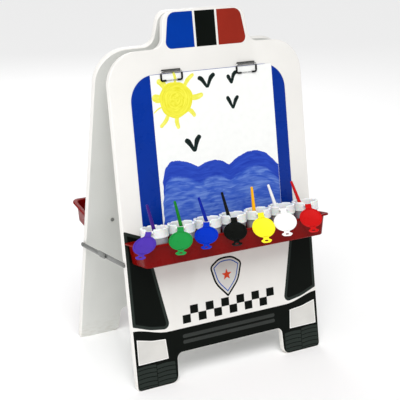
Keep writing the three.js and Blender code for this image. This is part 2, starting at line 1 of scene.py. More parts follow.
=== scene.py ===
"""A folding double-sided kids easel: the looks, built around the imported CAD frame.

Lengths are in millimetres until add() scales them to metres. A board's frame has X across
it, Y up its slope and Z out of its face. A cup's frame has Y up its axis and Z outwards.
"""

import math
import random

import bpy
from mathutils import Matrix, Vector
from mathutils.geometry import tessellate_polygon


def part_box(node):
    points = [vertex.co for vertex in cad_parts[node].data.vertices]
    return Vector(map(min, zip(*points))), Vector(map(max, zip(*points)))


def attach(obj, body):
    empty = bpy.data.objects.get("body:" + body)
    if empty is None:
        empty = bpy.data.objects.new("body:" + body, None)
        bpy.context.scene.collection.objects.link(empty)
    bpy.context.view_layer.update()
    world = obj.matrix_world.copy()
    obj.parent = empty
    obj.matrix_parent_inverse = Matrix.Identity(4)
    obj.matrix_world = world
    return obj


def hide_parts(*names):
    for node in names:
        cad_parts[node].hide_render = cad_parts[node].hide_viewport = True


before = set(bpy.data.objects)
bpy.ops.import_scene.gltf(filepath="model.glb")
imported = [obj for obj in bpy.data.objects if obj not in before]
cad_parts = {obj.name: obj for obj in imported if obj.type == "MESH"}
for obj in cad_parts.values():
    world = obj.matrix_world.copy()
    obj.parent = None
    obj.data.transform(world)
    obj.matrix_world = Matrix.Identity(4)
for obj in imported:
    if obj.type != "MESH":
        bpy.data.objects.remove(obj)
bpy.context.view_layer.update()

MM = 0.001
LEAN = math.radians(10.47)
SIDES = ("front", "rear")
HANDS = (("left", -1), ("right", 1))
BODY_OF = {"front": "frame", "rear": "rear_leg"}

# Boards
HALF_BOARD = 305
BOARD_LENGTH = 1021
BOARD_THICKNESS = 19
SHOULDER_HEIGHT = 925
ARCH_HEIGHT = 82
LEG_INNER = 177
LIGHT_BAR_BASE = 137.5
LIGHT_BAR_TOP = 127
EDGE_RADIUS = 2.2
FILM = 0.18
FILM_GAP = 0.02
PRINT_INSET = 1.6

# What is fixed to a board
PANEL_HALF = 245
PANEL_TOP = 858
SHEET_BOTTOM = 423
PANEL_FRONT = 1.3
PAPER_LEFT = -183.5
PAPER_RIGHT = 203.5
PAPER_TOP = 857
PAPER_BACK = 1.6
PAPER_THICKNESS = 0.3
CLIP_OFFSET = 119
HINGE_OFFSET = 70
BOLT_OFFSET = 225
BOLT_HEIGHT = 402

# Trays
TRAY_FLOOR = 357
TRAY_TOP = 419
TRAY_WALL = 2.5
TRAY_GAP = 0.3
TRAY_DEPTH_BOTTOM = 90
TRAY_DEPTH_TOP = 97
TRAY_HALF_BOTTOM = 286
TRAY_HALF_TOP = 293
RIM_WIDTH = 10
RIM_DROP = 5

# Cups, lids and brushes
CUP_PITCH = 81.2
CUP_ROW_SHIFT = 6.5
CUP_OUT = 55
CUP_FLOOR = TRAY_FLOOR + TRAY_WALL + TRAY_GAP
CUP_HEIGHT = 99
CUP_WALL = 2.5
BASE_RADIUS = 28.5
BODY_RADIUS = 35.5
COLLAR_RADIUS = 38
COLLAR_HEIGHT = 26
MOUTH_RADIUS = 31
LIP_HEIGHT = 94
LID_RADIUS = 32
LID_THICKNESS = 2
LID_PIVOT_HEIGHT = 91.5
LID_PIVOT_OUT = 41.2
STRAP_WIDTH = 17
STRAP_LENGTH = 13
BRUSH_LENGTH = 165

# One entry per paint cup, left to right: how far it is turned, where its brush stands and
# passes the mouth, and the colours of its lid, its brush handle and its paint
CUPS = [
    dict(colour="purple", turn=48, foot=(18, 4), rim=(7, 22), slope=54,
         lid=(0.075, 0.034, 0.38), handle=(0.045, 0.008, 0.19), paint=(0.16, 0.08, 0.42)),
    dict(colour="green", turn=31, foot=(14, 2), rim=(0, 23),
         lid=(0.014, 0.28, 0.055), handle=(0.006, 0.20, 0.014), paint=(0.02, 0.30, 0.08)),
    dict(colour="blue", turn=33, foot=(18, 2), rim=(-2, 23),
         lid=(0.0, 0.031, 0.48), handle=(0.0, 0.015, 0.34), paint=(0.01, 0.06, 0.50)),
    dict(colour="black", turn=27, foot=(6, 4), rim=(-13, 19),
         lid=(0.0022, 0.003, 0.0022), handle=(0.002, 0.0025, 0.002), paint=(0.01, 0.012, 0.012)),
    dict(colour="yellow", turn=20, foot=(-7, 2), rim=(-13, 19),
         lid=(0.95, 0.86, 0.022), handle=(1.0, 0.46, 0.001), paint=(0.75, 0.62, 0.01)),
    dict(colour="white", turn=27, foot=(8, 2), rim=(-18, 15),
         lid=(0.90, 0.90, 0.89), handle=(0.90, 0.90, 0.89), paint=(0.85, 0.85, 0.84)),
    dict(colour="red", turn=23, foot=(12, 2), rim=(-19, 13),
         lid=(0.56, 0.006, 0.006), handle=(0.56, 0.004, 0.004), paint=(0.50, 0.02, 0.02)),
]


# ---------------------------------------------------------------- placing

def axes_frame(across, up, out, origin):
    """A rigid frame from its three axes and its origin in metres."""
    turned = Matrix((across, up, out)).transposed().to_4x4()
    return Matrix.Translation(origin) @ turned


def board_frame(side):
    """The middle of the foot of a board's face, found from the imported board."""
    low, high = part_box(f"{side}_board")
    facing = 1 if side == "front" else -1
    origin = Vector(((low.x + high.x) / 2, low.y if side == "front" else high.y, 0))
    across = Vector((facing, 0, 0))
    up = Vector((0, facing * math.sin(LEAN), math.cos(LEAN)))
    out = Vector((0, -facing * math.cos(LEAN), math.sin(LEAN)))
    return axes_frame(across, up, out, origin)


def move(x=0, y=0, z=0):
    return Matrix.Translation(Vector((x, y, z)) * MM)


def turn(degrees, axis):
    return Matrix.Rotation(math.radians(degrees), 4, axis)


# ---------------------------------------------------------------- outlines

def rounded_path(corners, closed=True, step=math.radians(8)):
    """Points along a path whose corners (x, y, radius) are rounded by arcs."""
    points = []
    count = len(corners)
    for index, (x, y, radius) in enumerate(corners):
        inner = closed or 0 < index < count - 1
        if radius <= 0 or not inner:
            points.append(Vector((x, y)))
            continue
        corner = Vector((x, y))
        back = (Vector(corners[index - 1][:2]) - corner).normalized()
        ahead = (Vector(corners[(index + 1) % count][:2]) - corner).normalized()
        half = back.angle(ahead) / 2
        centre = corner + (back + ahead).normalized() * (radius / math.sin(half))
        reach = radius / math.tan(half)
        first = corner + back * reach - centre
        last = corner + ahead * reach - centre
        start = math.atan2(first.y, first.x)
        sweep = (math.atan2(last.y, last.x) - start + math.pi) % (2 * math.pi) - math.pi
        steps = max(2, math.ceil(abs(sweep) / step))
        for tick in range(steps + 1):
            angle = start + sweep * tick / steps
            points.append(centre + radius * Vector((math.cos(angle), math.sin(angle))))
    return without_repeats(points, closed)


def without_repeats(points, closed=True):
    kept = [points[0]]
    for point in points[1:]:
        if (point - kept[-1]).length > 1e-3:
            kept.append(point)
    if closed and (kept[0] - kept[-1]).length <= 1e-3:
        kept.pop()
    return kept


def offset(outline, distance):
    """A closed anticlockwise outline moved outwards by a distance."""
    moved = []
    count = len(outline)
    for index, point in enumerate(outline):
        into = (point - outline[index - 1]).normalized()
        away = (outline[(index + 1) % count] - point).normalized()
        first = Vector((into.y, -into.x))
        second = Vector((away.y, -away.x))
        moved.append(point + (first + second) * (distance / (1 + max(first.dot(second), -0.5))))
    return moved


def mirrored(corners):
    """The same anticlockwise outline on the other side of the centre line."""
    return [(-corner[0], *corner[1:]) for corner in reversed(corners)]


def inset(corners, distance):
    """An anticlockwise outline's corners moved inwards, with roundings to match."""
    moved = []
    count = len(corners)
    for index, (x, y, radius) in enumerate(corners):
        point = Vector((x, y))
        into = (point - Vector(corners[index - 1][:2])).normalized()
        away = (Vector(corners[(index + 1) % count][:2]) - point).normalized()
        first = Vector((-into.y, into.x))
        second = Vector((-away.y, away.x))
        spot = point + (first + second) * (distance / (1 + first.dot(second)))
        convex = into.cross(away) > 0
        moved.append((spot.x, spot.y, max(0.4, radius - distance) if convex else radius + distance))
    return moved


def ellipse(half_width, half_height, x=0, y=0, sides=48):
    angles = [2 * math.pi * side / sides for side in range(sides)]
    return [Vector((x + half_width * math.cos(angle), y + half_height * math.sin(angle)))
            for angle in angles]


# ---------------------------------------------------------------- shells: (points, faces)

def loft(rings, capped=True):
    """A skin through rings of equally many points, wound outwards for anticlockwise rings
    that rise. A capped loft is a closed body."""
    count = len(rings[0])
    points = [Vector(point) for ring in rings for point in ring]
    faces = []
    for ring in range(len(rings) - 1):
        for side in range(count):
            here = ring * count + side
            beside = ring * count + (side + 1) % count
            faces.append((here, beside, beside + count, here + count))
    if capped:
        last = (len(rings) - 1) * count
        faces.append(tuple(reversed(range(count))))
        faces.append(tuple(range(last, last + count)))
    return points, faces


def quarter(steps):
    """The sine and the fall of the cosine at even steps of a quarter turn."""
    angles = [math.pi / 2 * tick / steps for tick in range(steps + 1)]
    return [(math.sin(angle), 1 - math.cos(angle)) for angle in angles]


def slab(outline, back, front, edge=0.0, steps=3):
    """A flat plate between two depths, with its edges rounded."""
    if not edge:
        return loft([[(point.x, point.y, level) for point in outline] for level in (back, front)])
    rounding = quarter(steps)
    levels = [(rise, back + edge * fall) for rise, fall in rounding]
    levels += [(rise, front - edge * fall) for rise, fall in reversed(rounding)]
    return loft([[(point.x, point.y, level) for point in offset(outline, -edge * (1 - rise))]
                 for rise, level in levels])


def lathe(profile, sides=48):
    """A profile of (radius, height) turned about the Y axis. Points on the axis become poles."""
    points = []
    faces = []
    rows = []
    for radius, height in profile:
        if radius < 1e-4:
            rows.append([len(points)])
            points.append(Vector((0, height, 0)))
            continue
        rows.append(list(range(len(points), len(points) + sides)))
        for side in range(sides):
            angle = 2 * math.pi * side / sides
            points.append(Vector((radius * math.cos(angle), height, -radius * math.sin(angle))))
    for low, high in zip(rows, rows[1:]):
        for side in range(sides):
            after = (side + 1) % sides
            if len(low) == 1:
                faces.append((low[0], high[after], high[side]))
            elif len(high) == 1:
                faces.append((low[side], low[after], high[0]))
            else:
                faces.append((low[side], low[after], high[after], high[side]))
    return points, faces


def turned_profile(corners, sides=48):
    """A lathe of a profile whose corners (radius, height, rounding) are rounded."""
    path = rounded_path(corners, closed=False, step=math.radians(18))
    return lathe([(point.x, point.y) for point in path], sides)


def tube(path, radius, sides=12):
    """A round section along a path of points; radius may be a list, one for each point."""
    path = [Vector(point) for point in path]
    radii = radius if isinstance(radius, list) else [radius] * len(path)
    rings = []
    across = None
    for index, point in enumerate(path):
        before = path[max(index - 1, 0)]
        after = path[min(index + 1, len(path) - 1)]
        along = (after - before).normalized()
        if across is None:
            across = along.orthogonal().normalized()
        across = (across - along * across.dot(along)).normalized()
        out = along.cross(across)
        rings.append([point + radii[index] * (across * spot.x + out * spot.y)
                      for spot in ellipse(1, 1, sides=sides)])
    return loft(rings)


def shifted(shell, matrix):
    points, faces = shell
    return [matrix @ point for point in points], faces


def flipped(faces):
    return [tuple(reversed(face)) for face in faces]


def at(x=0, y=0, z=0):
    return Matrix.Translation((x, y, z))


def joined(*shells):
    points = []
    faces = []
    for shell_points, shell_faces in shells:
        start = len(points)
        points.extend(shell_points)
        faces.extend(tuple(corner + start for corner in face) for face in shell_faces)
    return points, faces


def draped_grid(rows, lift, thickness, surface):
    """A thin closed sheet through rows of (x, y), which follows surface(x, y)."""
    width = len(rows[0])
    height = len(rows)
    flat = [point for row in rows for point in row]
    top = [Vector((x, y, surface(x, y) + lift + thickness)) for x, y in flat]
    under = [Vector((x, y, surface(x, y) + lift)) for x, y in flat]
    faces = []
    size = len(flat)
    for row in range(height - 1):
        for column in range(width - 1):
            here = row * width + column
            quad = (here, here + 1, here + 1 + width, here + width)
            faces.append(quad)
            faces.append(tuple(corner + size for corner in reversed(quad)))
    rim = list(range(width))
    rim += [row * width + width - 1 for row in range(1, height)]
    rim += [(height - 1) * width + column for column in range(width - 2, -1, -1)]
    rim += [row * width for row in range(height - 2, 0, -1)]
    for here, beside in zip(rim, rim[1:] + rim[:1]):
        faces.append((beside, here, here + size, beside + size))
    return top + under, faces


# ---------------------------------------------------------------- pieces

def add(name, parts, place, body, node=None, sharp=35):
    """Makes one object from (shell, material) pairs in the frame place, and rides it."""
    points = []
    faces = []
    slots = []
    mesh = bpy.data.meshes.new(name)
    for index, (shell, material) in enumerate(parts):
        start = len(points)
        points.extend(point * MM for point in shell[0])
        faces.extend(tuple(corner + start for corner in face) for face in shell[1])
        slots.extend([index] * len(shell[1]))
        mesh.materials.append(material)
    mesh.from_pydata(points, [], faces)
    mesh.polygons.foreach_set("material_index", slots)
    mesh.update()
    mesh.shade_smooth()
    mesh.set_sharp_from_angle(angle=math.radians(sharp))
    piece = bpy.data.objects.new(name, mesh)
    bpy.context.scene.collection.objects.link(piece)
    piece.matrix_world = place
    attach(piece, body)
    if node:
        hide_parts(node)
    return piece


# ---------------------------------------------------------------- materials

def new_material(name, colour, roughness, **sockets):
    """A Principled material; sockets are its other inputs, with underscores for spaces."""
    material = bpy.data.materials.new(name)
    material.use_nodes = True
    shader = material.node_tree.nodes["Principled BSDF"]
    shader.inputs["Base Color"].default_value = (*colour, 1)
    shader.inputs["Roughness"].default_value = roughness
    for socket, value in sockets.items():
        shader.inputs[socket.replace("_", " ")].default_value = value
    material.diffuse_color = (*colour, 1)
    return material


def coordinates(material, attribute=None):
    """The place on the piece in its own metres, or what one of its attributes says there."""
    nodes = material.node_tree.nodes
    if not attribute:
        return nodes.new("ShaderNodeTexCoord").outputs["Object"]
    source = nodes.new("ShaderNodeAttribute")
    source.attribute_name = attribute
    return source.outputs["Vector"]


def noise(material, scale, detail=3, stretch=(1, 1, 1), attribute=None, distortion=0.0):
    nodes = material.node_tree.nodes
    links = material.node_tree.links
    mapping = nodes.new("ShaderNodeMapping")
    mapping.inputs["Scale"].default_value = stretch
    links.new(coordinates(material, attribute), mapping.inputs["Vector"])
    texture = nodes.new("ShaderNodeTexNoise")
    texture.inputs["Scale"].default_value = scale
    texture.inputs["Detail"].default_value = detail
    texture.inputs["Distortion"].default_value = distortion
    links.new(mapping.outputs["Vector"], texture.inputs["Vector"])
    return texture.outputs["Fac"]


def ramp(material, socket, stops):
    """A colour ramp of (position, colour) stops."""
    node = material.node_tree.nodes.new("ShaderNodeValToRGB")
    elements = node.color_ramp.elements
    elements[0].position, elements[1].position = stops[0][0], stops[-1][0]
    elements[0].color, elements[1].color = (*stops[0][1], 1), (*stops[-1][1], 1)
    for position, colour in stops[1:-1]:
        element = elements.new(position)
        element.color = (*colour, 1)
    material.node_tree.links.new(socket, node.inputs["Fac"])
    return node.outputs["Color"]


def mix_colours(material, factor, first, second):
    """Mixes two colour sockets by a varying factor."""
    node = material.node_tree.nodes.new("ShaderNodeMix")
    node.data_type = "RGBA"
    links = material.node_tree.links
    links.new(factor, node.inputs["Factor"])
    links.new(first, node.inputs[6])
    links.new(second, node.inputs[7])
    return node.outputs[2]


def colour_from(material, socket):
    shader = material.node_tree.nodes["Principled BSDF"]
    material.node_tree.links.new(socket, shader.inputs["Base Color"])


def mottle(material, colour, spread, scale, stretch=(1, 1, 1), detail=4):
    """Lets the colour drift slightly lighter and darker."""
    darker = tuple(channel * (1 - spread) for channel in colour)
    lighter = tuple(min(1.0, channel * (1 + spread)) for channel in colour)
    pattern = noise(material, scale, detail, stretch)
    colour_from(material, ramp(material, pattern, [(0.3, darker), (0.7, lighter)]))


def remap(material, socket, start, end, first=0.0, last=1.0, smooth=False):
    """Goes from first to last while the socket's value goes from start to end."""
    node = material.node_tree.nodes.new("ShaderNodeMapRange")
    node.interpolation_type = "SMOOTHSTEP" if smooth else "LINEAR"
    node.inputs["From Min"].default_value = start
    node.inputs["From Max"].default_value = end
    node.inputs["To Min"].default_value = first
    node.inputs["To Max"].default_value = last
    material.node_tree.links.new(socket, node.inputs["Value"])
    return node.outputs["Result"]


def along_axis(material, axis, attribute=None):
    """One coordinate of the place on the piece, or of an attribute."""
    split = material.node_tree.nodes.new("ShaderNodeSeparateXYZ")
    material.node_tree.links.new(coordinates(material, attribute), split.inputs["Vector"])
    return split.outputs[axis]


def vary_roughness(material, low, high, scale, stretch=(1, 1, 1)):
    shader = material.node_tree.nodes["Principled BSDF"]
    varied = remap(material, noise(material, scale, 4, stretch), 0.3, 0.7, low, high)
    material.node_tree.links.new(varied, shader.inputs["Roughness"])


def bump(material, scale, depth, strength=0.4, stretch=(1, 1, 1), attribute=None):
    """Fine relief, its depth in millimetres."""
    node = material.node_tree.nodes.new("ShaderNodeBump")
    node.inputs["Strength"].default_value = strength
    node.inputs["Distance"].default_value = depth * MM
    links = material.node_tree.links
    links.new(noise(material, scale, 3, stretch, attribute), node.inputs["Height"])
    shader = material.node_tree.nodes["Principled BSDF"]
    links.new(node.outputs["Normal"], shader.inputs["Normal"])


def moulded_plastic(name, colour, roughness=0.32, spread=0.05, shine=0.16, **sockets):
    material = new_material(name, colour, roughness, Specular_IOR_Level=shine, **sockets)
    mottle(material, colour, spread, 28)
    vary_roughness(material, roughness - 0.05, roughness + 0.09, 60)
    bump(material, 900, 0.05, 0.25)
    return material


def printed_film(name, colour, roughness=0.34, shine=0.06):
    material = new_material(name, colour, roughness, Specular_IOR_Level=shine)
    mottle(material, colour, 0.06, 14)
    vary_roughness(material, roughness - 0.06, roughness + 0.10, 24)
    bump(material, 420, 0.03, 0.2)
    return material


def plated_steel(name, colour, roughness, stretch=(1, 1, 1)):
    material = new_material(name, colour, roughness, Metallic=1.0)
    mottle(material, colour, 0.14, 70, stretch)
    vary_roughness(material, roughness - 0.08, roughness + 0.12, 160, stretch)
    bump(material, 500, 0.02, 0.25, stretch)
    return material


def board_material(name, colour):
    """Melamine-faced board: warm white, faintly pebbled, with scuffs near the feet."""
    material = new_material(name, colour, 0.42)
    lighter = tuple(min(1.0, channel * 1.015) for channel in colour)
    darker = tuple(channel * 0.97 for channel in colour)
    clean = ramp(material, noise(material, 5, 5), [(0.35, darker), (0.65, lighter)])
    dirty = tuple(channel * shade for channel, shade in zip(colour, (0.80, 0.77, 0.72)))
    scuffed = ramp(material, noise(material, 45, 6, (1, 3, 1)), [(0.42, lighter), (0.75, dirty)])
    near_floor = remap(material, along_axis(material, "Y"), 0.0, 0.07, 0.85, 0.0)
    colour_from(material, mix_colours(material, near_floor, clean, scuffed))
    vary_roughness(material, 0.36, 0.5, 40)
    bump(material, 380, 0.06, 0.25)
    return material


def paper_material():
    material = new_material("drawing_paper", (0.91, 0.92, 0.90), 0.85)
    mottle(material, (0.91, 0.92, 0.90), 0.018, 60)
    bump(material, 1500, 0.08, 0.5)
    return material


def wash_material():
    """Blue poster paint: dense along the wave tops, thin and streaky below them."""
    material = new_material("blue_wash", (0.05, 0.12, 0.60), 0.55, Specular_IOR_Level=0.15)
    streaks = noise(material, 22, 7, (1.0, 7.5, 0), "stroke", 0.7)
    patches = noise(material, 14, 4, (1, 2.6, 0), "stroke", 1.2)
    dense = ramp(material, streaks, [(0.30, (0.010, 0.040, 0.40)), (0.75, (0.028, 0.085, 0.54))])
    thin = ramp(material, streaks, [(0.30, (0.020, 0.070, 0.47)), (0.52, (0.042, 0.115, 0.55)),
                                    (0.80, (0.20, 0.33, 0.72))])
    pale = ramp(material, streaks, [(0.30, (0.045, 0.120, 0.53)), (0.70, (0.17, 0.29, 0.70))])
    patchy = ramp(material, patches, [(0.42, (0, 0, 0)), (0.62, (1, 1, 1))])
    washed = mix_colours(material, patchy, thin, pale)
    below_top = remap(material, along_axis(material, "Z", "stroke"), 0.040, 0.050, smooth=True)
    colour_from(material, mix_colours(material, below_top, dense, washed))
    bump(material, 60, 0.25, 0.5, (0.8, 9.0, 0), "stroke")
    return material


def brushed_paint(name, dark, light, roughness=0.6):
    """Poster paint laid on in streaks along the stroke."""
    material = new_material(name, light, roughness, Specular_IOR_Level=0.15)
    streaks = noise(material, 40, 5, (1, 6, 1), "stroke", 0.5)
    colour_from(material, ramp(material, streaks, [(0.3, dark), (0.7, light)]))
    bump(material, 90, 0.2, 0.5, (1, 6, 1), "stroke")
    return material


def cup_material(colour, paint, show):
    """Milky polypropylene, tinted near its foot by the paint inside."""
    milk = (0.50, 0.50, 0.53)
    material = new_material(f"{colour}_cup_body", milk, 0.35, Subsurface_Weight=0.25,
                            Subsurface_Scale=0.01)
    cloudy = ramp(material, noise(material, 40, 4), [(0.3, (0.42, 0.42, 0.46)), (0.7, milk)])
    tint = tuple(show * dye + (1 - show) * base for dye, base in zip(paint, milk))
    tinted = ramp(material, noise(material, 50, 3),
                  [(0.3, tuple(channel * 0.85 for channel in tint)), (0.7, tint)])
    tinted_to = 0.030
    clear_from = 0.066
    above_paint = remap(material, along_axis(material, "Y"), tinted_to, clear_from, smooth=True)
    colour_from(material, mix_colours(material, above_paint, tinted, cloudy))
    vary_roughness(material, 0.28, 0.42, 60)
    bump(material, 700, 0.05, 0.25)
    return material


WHITE_BOARD = board_material("white_board", (0.84, 0.825, 0.79))
# A greyer copy of the white board: painted shade for the boards' inner faces
SHADED_INNER_BOARD = board_material("inner_board_painted_shade", (0.72, 0.725, 0.695))
WIPE_BLUE = printed_film("wipe_blue", (0.0, 0.029, 0.29), 0.28, 0.12)
BAR_BLUE = printed_film("light_bar_blue", (0.0, 0.037, 0.32))
BAR_RED = printed_film("light_bar_red", (0.28, 0.022, 0.012))
PRINT_BLACK = printed_film("print_black", (0.003, 0.0045, 0.0033))
PRINT_GREY = printed_film("print_grey_green", (0.023, 0.030, 0.026))
PRINT_BAR = printed_film("print_bar", (0.036, 0.040, 0.037))
LAMP_GREY = printed_film("lamp_grey", (0.66, 0.65, 0.62))
LAMP_WHITE = printed_film("lamp_white", (0.90, 0.89, 0.87))
BADGE_BLUE = printed_film("badge_blue", (0.02, 0.10, 0.42))
BADGE_RED = printed_film("badge_red", (0.62, 0.06, 0.02))
PAPER = paper_material()
WASH = wash_material()
SUN_PAINT = brushed_paint("sun_paint", (0.76, 0.70, 0.020), (0.92, 0.88, 0.085))
RAY_PAINT = brushed_paint("ray_paint", (0.78, 0.74, 0.04), (0.93, 0.91, 0.20))
BIRD_PAINT = brushed_paint("bird_paint", (0.002, 0.004, 0.004), (0.008, 0.024, 0.021), 0.4)
ZINC = plated_steel("zinc_plate", (0.24, 0.245, 0.235), 0.38, (1, 0.2, 1))
# The clip plate is near black: dark plating plus painted shade, for the shadow along the clip's top
SHADED_CLIP_STEEL = plated_steel("clip_plate", (0.035, 0.035, 0.033), 0.28)
ROLLED_STEEL = plated_steel("clip_roll", (0.20, 0.20, 0.195), 0.25)
BRIGHT_WIRE = plated_steel("clip_wire", (0.62, 0.62, 0.61), 0.22)
# Black for the wire's lower corners: painted reflection of dark surroundings in the bright wire
WIRE_REFLECTION_BLACK = moulded_plastic("painted_wire_reflection", (0.003, 0.003, 0.003), 0.35, 0.05, 0.15)
TRAY_PLASTIC = moulded_plastic("tray_red", (0.20, 0.0015, 0.0008), 0.28, 0.07, 0.09)
COLLAR_PLASTIC = moulded_plastic("collar_white", (0.86, 0.88, 0.87), 0.35, 0.02,
                                 Subsurface_Weight=0.2, Subsurface_Scale=0.006)
BRISTLE = new_material("bristle", (0.62, 0.50, 0.30), 0.6)
mottle(BRISTLE, (0.62, 0.50, 0.30), 0.25, 400, (1, 0.1, 1))
bump(BRISTLE, 900, 0.04, 0.4, (1, 0.1, 1))
FERRULE = plated_steel("ferrule", (0.60, 0.60, 0.60), 0.28)


# ---------------------------------------------------------------- boards

def board_outline():
    right = [
        (LEG_INNER - 4, ARCH_HEIGHT, 16),
        (LEG_INNER, 0, 22),
        (HALF_BOARD, 0, 12),
        (HALF_BOARD, SHOULDER_HEIGHT - 3, 90),
        (LIGHT_BAR_BASE, SHOULDER_HEIGHT, 32),
        (LIGHT_BAR_TOP, BOARD_LENGTH, 30),
    ]
    return rounded_path(right + mirrored(right), step=math.radians(6))


def add_board(side, place):
    shell = slab(board_outline(), -BOARD_THICKNESS, 0, EDGE_RADIUS, 4)
    for point in shell[0]:
        # The feet are cut level with the floor
        point.y = max(point.y, -point.z * math.tan(LEAN))
    piece = add(f"{side}_board_shell", [(shell, WHITE_BOARD)], place, BODY_OF[side],
                f"{side}_board", 30)
    # The face that turns inwards, the last but one, gets a greyer copy of the white board: painted shade
    # for the inner side, which lies in shade
    piece.data.materials.append(SHADED_INNER_BOARD)
    piece.data.polygons[len(shell[1]) - 2].material_index = 1


def film_span(level):
    """The back and the front of a film; a higher level lies on a lower one."""
    return (level - 1) * FILM + FILM_GAP, level * FILM


def add_film(side, place, name, corners, level, material, slot):
    """A printed film on the board's face."""
    shell = slab(rounded_path(corners), *film_span(level))
    return add(f"{side}_{name}", [(shell, material)], place, BODY_OF[side])


def add_bordered_pair(side, place, name, right, border, level, border_finish, finish):
    """A print with a border on both sides of the centre line, drawn for the right-hand one.
    A finish is a material and a slot name; the slot name is not used."""
    for hand, corners in (("right", right), ("left", mirrored(right))):
        add_film(side, place, f"{hand}_{name}_border", corners, level, *border_finish)
        add_film(side, place, f"{hand}_{name}", inset(corners, border), level + 1, *finish)


def add_light_bar(side, place):
    top = BOARD_LENGTH - PRINT_INSET
    blue = [(-38, 922, 1), (-38, top, 1), (-113, top, 24), (-129, 922, 18)]
    black = [(31.5, 922, 1), (31.5, top, 1), (-31.5, top, 1), (-31.5, 922, 1)]
    add_film(side, place, "bar_blue", blue, 1, BAR_BLUE, "decal_blue")
    add_film(side, place, "bar_black", black, 1, PRINT_BLACK, "decal_black")
    add_film(side, place, "bar_red", mirrored(blue), 1, BAR_RED, "decal_red")


def add_pillars(side, place):
    """The dark panels beside the tray, each with a grey-green border."""
    right = [
        (250, 165, 120), (303, 184, 5), (303.3, 450, 3), (240, 424, 20), (222, 330, 60),
        (206, 247, 80), (188, 156, 16),
    ]
    add_bordered_pair(side, place, "pillar", right, 9, 1, (PRINT_GREY, "decal_grey"),
                      (PRINT_BLACK, "decal_black"))


def bumper_top(x):
    """The bumper's upper edge is level, and sweeps up over the lamps."""
    share = min(1.0, max(0.0, (abs(x) - 196) / (HALF_BOARD - 196)))
    return 150 + 22 * share * share * (3 - 2 * share)


def add_bumper(side, place):
    half = HALF_BOARD - PRINT_INSET
    base = PRINT_INSET
    right = [
        (LEG_INNER - 4 + base, ARCH_HEIGHT + base, 17.5),
        (LEG_INNER + base, base, 20.5),
        (half, base, 10.5),
        (half, bumper_top(half), 1),
    ]
    steps = 36
    sweep = [half - 2 * half * tick / steps for tick in range(1, steps)]
    corners = right + [(x, bumper_top(x), 0) for x in sweep] + mirrored(right)
    add_film(side, place, "bumper", corners, 1, PRINT_BLACK, "decal_black")


def add_lamps(side, place):
    right = [(203, 74.5, 1), (296, 74, 1), (295, 146, 1), (250, 135, 60), (207, 131, 1)]
    add_bordered_pair(side, place, "lamp", right, 2.2, 2, (LAMP_WHITE, "lamp_grey"),
                      (LAMP_GREY, "lamp_grey"))


def add_grille(side, place):
    for name, low in (("lower", 105), ("upper", 121.5)):
        high = low + 10.5
        corners = [(153, low, 4.5), (153, high, 4.5), (-153, high, 4.5), (-153, low, 4.5)]
        add_film(side, place, f"{name}_grille_bar", corners, 2, PRINT_BAR, "decal_grey")


def tread_bar(inner, outer, low, high, curl):
    """One bowed bar of the right-hand tyre; curl lifts its inner end off the foot's corner."""
    steps = 6
    under = []
    over = []
    for tick in range(steps + 1):
        x = inner + (outer - inner) * tick / steps
        bow = 2.2 * math.sin(math.pi * tick / steps)
        under.append((x, low + bow + (curl if x < 192 else 0)))
        over.append((x, max(high + bow, low + 3)))
    return under + over[::-1]


def add_treads(side, place):
    """Tyre tread on each foot: two columns of bowed bars, half a step apart."""
    pitch = 12.4
    height = 10
    bottom = 3.2
    top = 66
    columns = [(184, 241, 0.0), (243, 301, 0.5)]
    bars = []
    for inner, outer, shift in columns:
        for row in range(6):
            start = bottom - 0.2 + (row - shift) * pitch
            low = max(start, bottom)
            high = min(start + height, top)
            if high - low >= 2.5:
                bars.append(tread_bar(inner, outer, low, high, 4 if low < 12 else 0))
    for hand, facing in HANDS:
        drawn = bars if facing > 0 else [mirrored(bar) for bar in bars]
        shells = [slab([Vector(point) for point in bar], *film_span(2)) for bar in drawn]
        add(f"{side}_{hand}_tread", [(joined(*shells), PRINT_GREY)], place, BODY_OF[side])


def add_badge(side, place):
    """A plain shield with a star: a generic badge."""
    corners = [
        (3, 211, 4), (42, 254, 70), (56, 306, 15), (27, 327, 40), (3, 329, 60), (-21, 327, 40),
        (-50, 306, 15), (-36, 254, 70),
    ]
    add_film(side, place, "badge_border", corners, 1, PRINT_BLACK, "decal_black")
    add_film(side, place, "badge_field", inset(corners, 5.2), 2, LAMP_GREY, "lamp_grey")
    add_film(side, place, "badge_line", inset(corners, 10), 3, BADGE_BLUE, "decal_blue")
    add_film(side, place, "badge_centre", inset(corners, 13), 4, LAMP_GREY, "lamp_grey")
    star_x = 3
    star_y = 276
    star = []
    for point in range(10):
        reach = 17 if point % 2 == 0 else 7.2
        angle = math.pi / 2 + math.pi * point / 5
        star.append((star_x + reach * math.cos(angle), star_y + reach * math.sin(angle), 0))
    add_film(side, place, "badge_star", star, 5, BADGE_RED, "decal_red")


def add_chequers(side, place):
    """A plain chequered band across the bonnet."""
    columns = 12
    rows = 2
    width = 25.4
    height = 0.95 * width
    left = 4 - columns * width / 2
    bottom = 162
    shells = []
    for row in range(rows):
        for column in range(row % 2, columns, 2):
            x = left + column * width
            y = bottom + row * height
            corners = [(x, y), (x + width, y), (x + width, y + height), (x, y + height)]
            shells.append(slab([Vector(corner) for corner in corners], *film_span(1)))
    add(f"{side}_chequers", [(joined(*shells), PRINT_BLACK)], place, BODY_OF[side])


def add_wipe_panel(side, place):
    corners = [
        (PANEL_HALF, SHEET_BOTTOM, 4), (PANEL_HALF, PANEL_TOP, 72),
        (-PANEL_HALF, PANEL_TOP, 72), (-PANEL_HALF, SHEET_BOTTOM, 4),
    ]
    shell = slab(rounded_path(corners, step=math.radians(5)), 0.05, PANEL_FRONT, 0.3, 2)
    add(f"{side}_wipe_sheet", [(shell, WIPE_BLUE)], place, BODY_OF[side],
        f"{side}_wipe_panel")


# ---------------------------------------------------------------- paper and painting

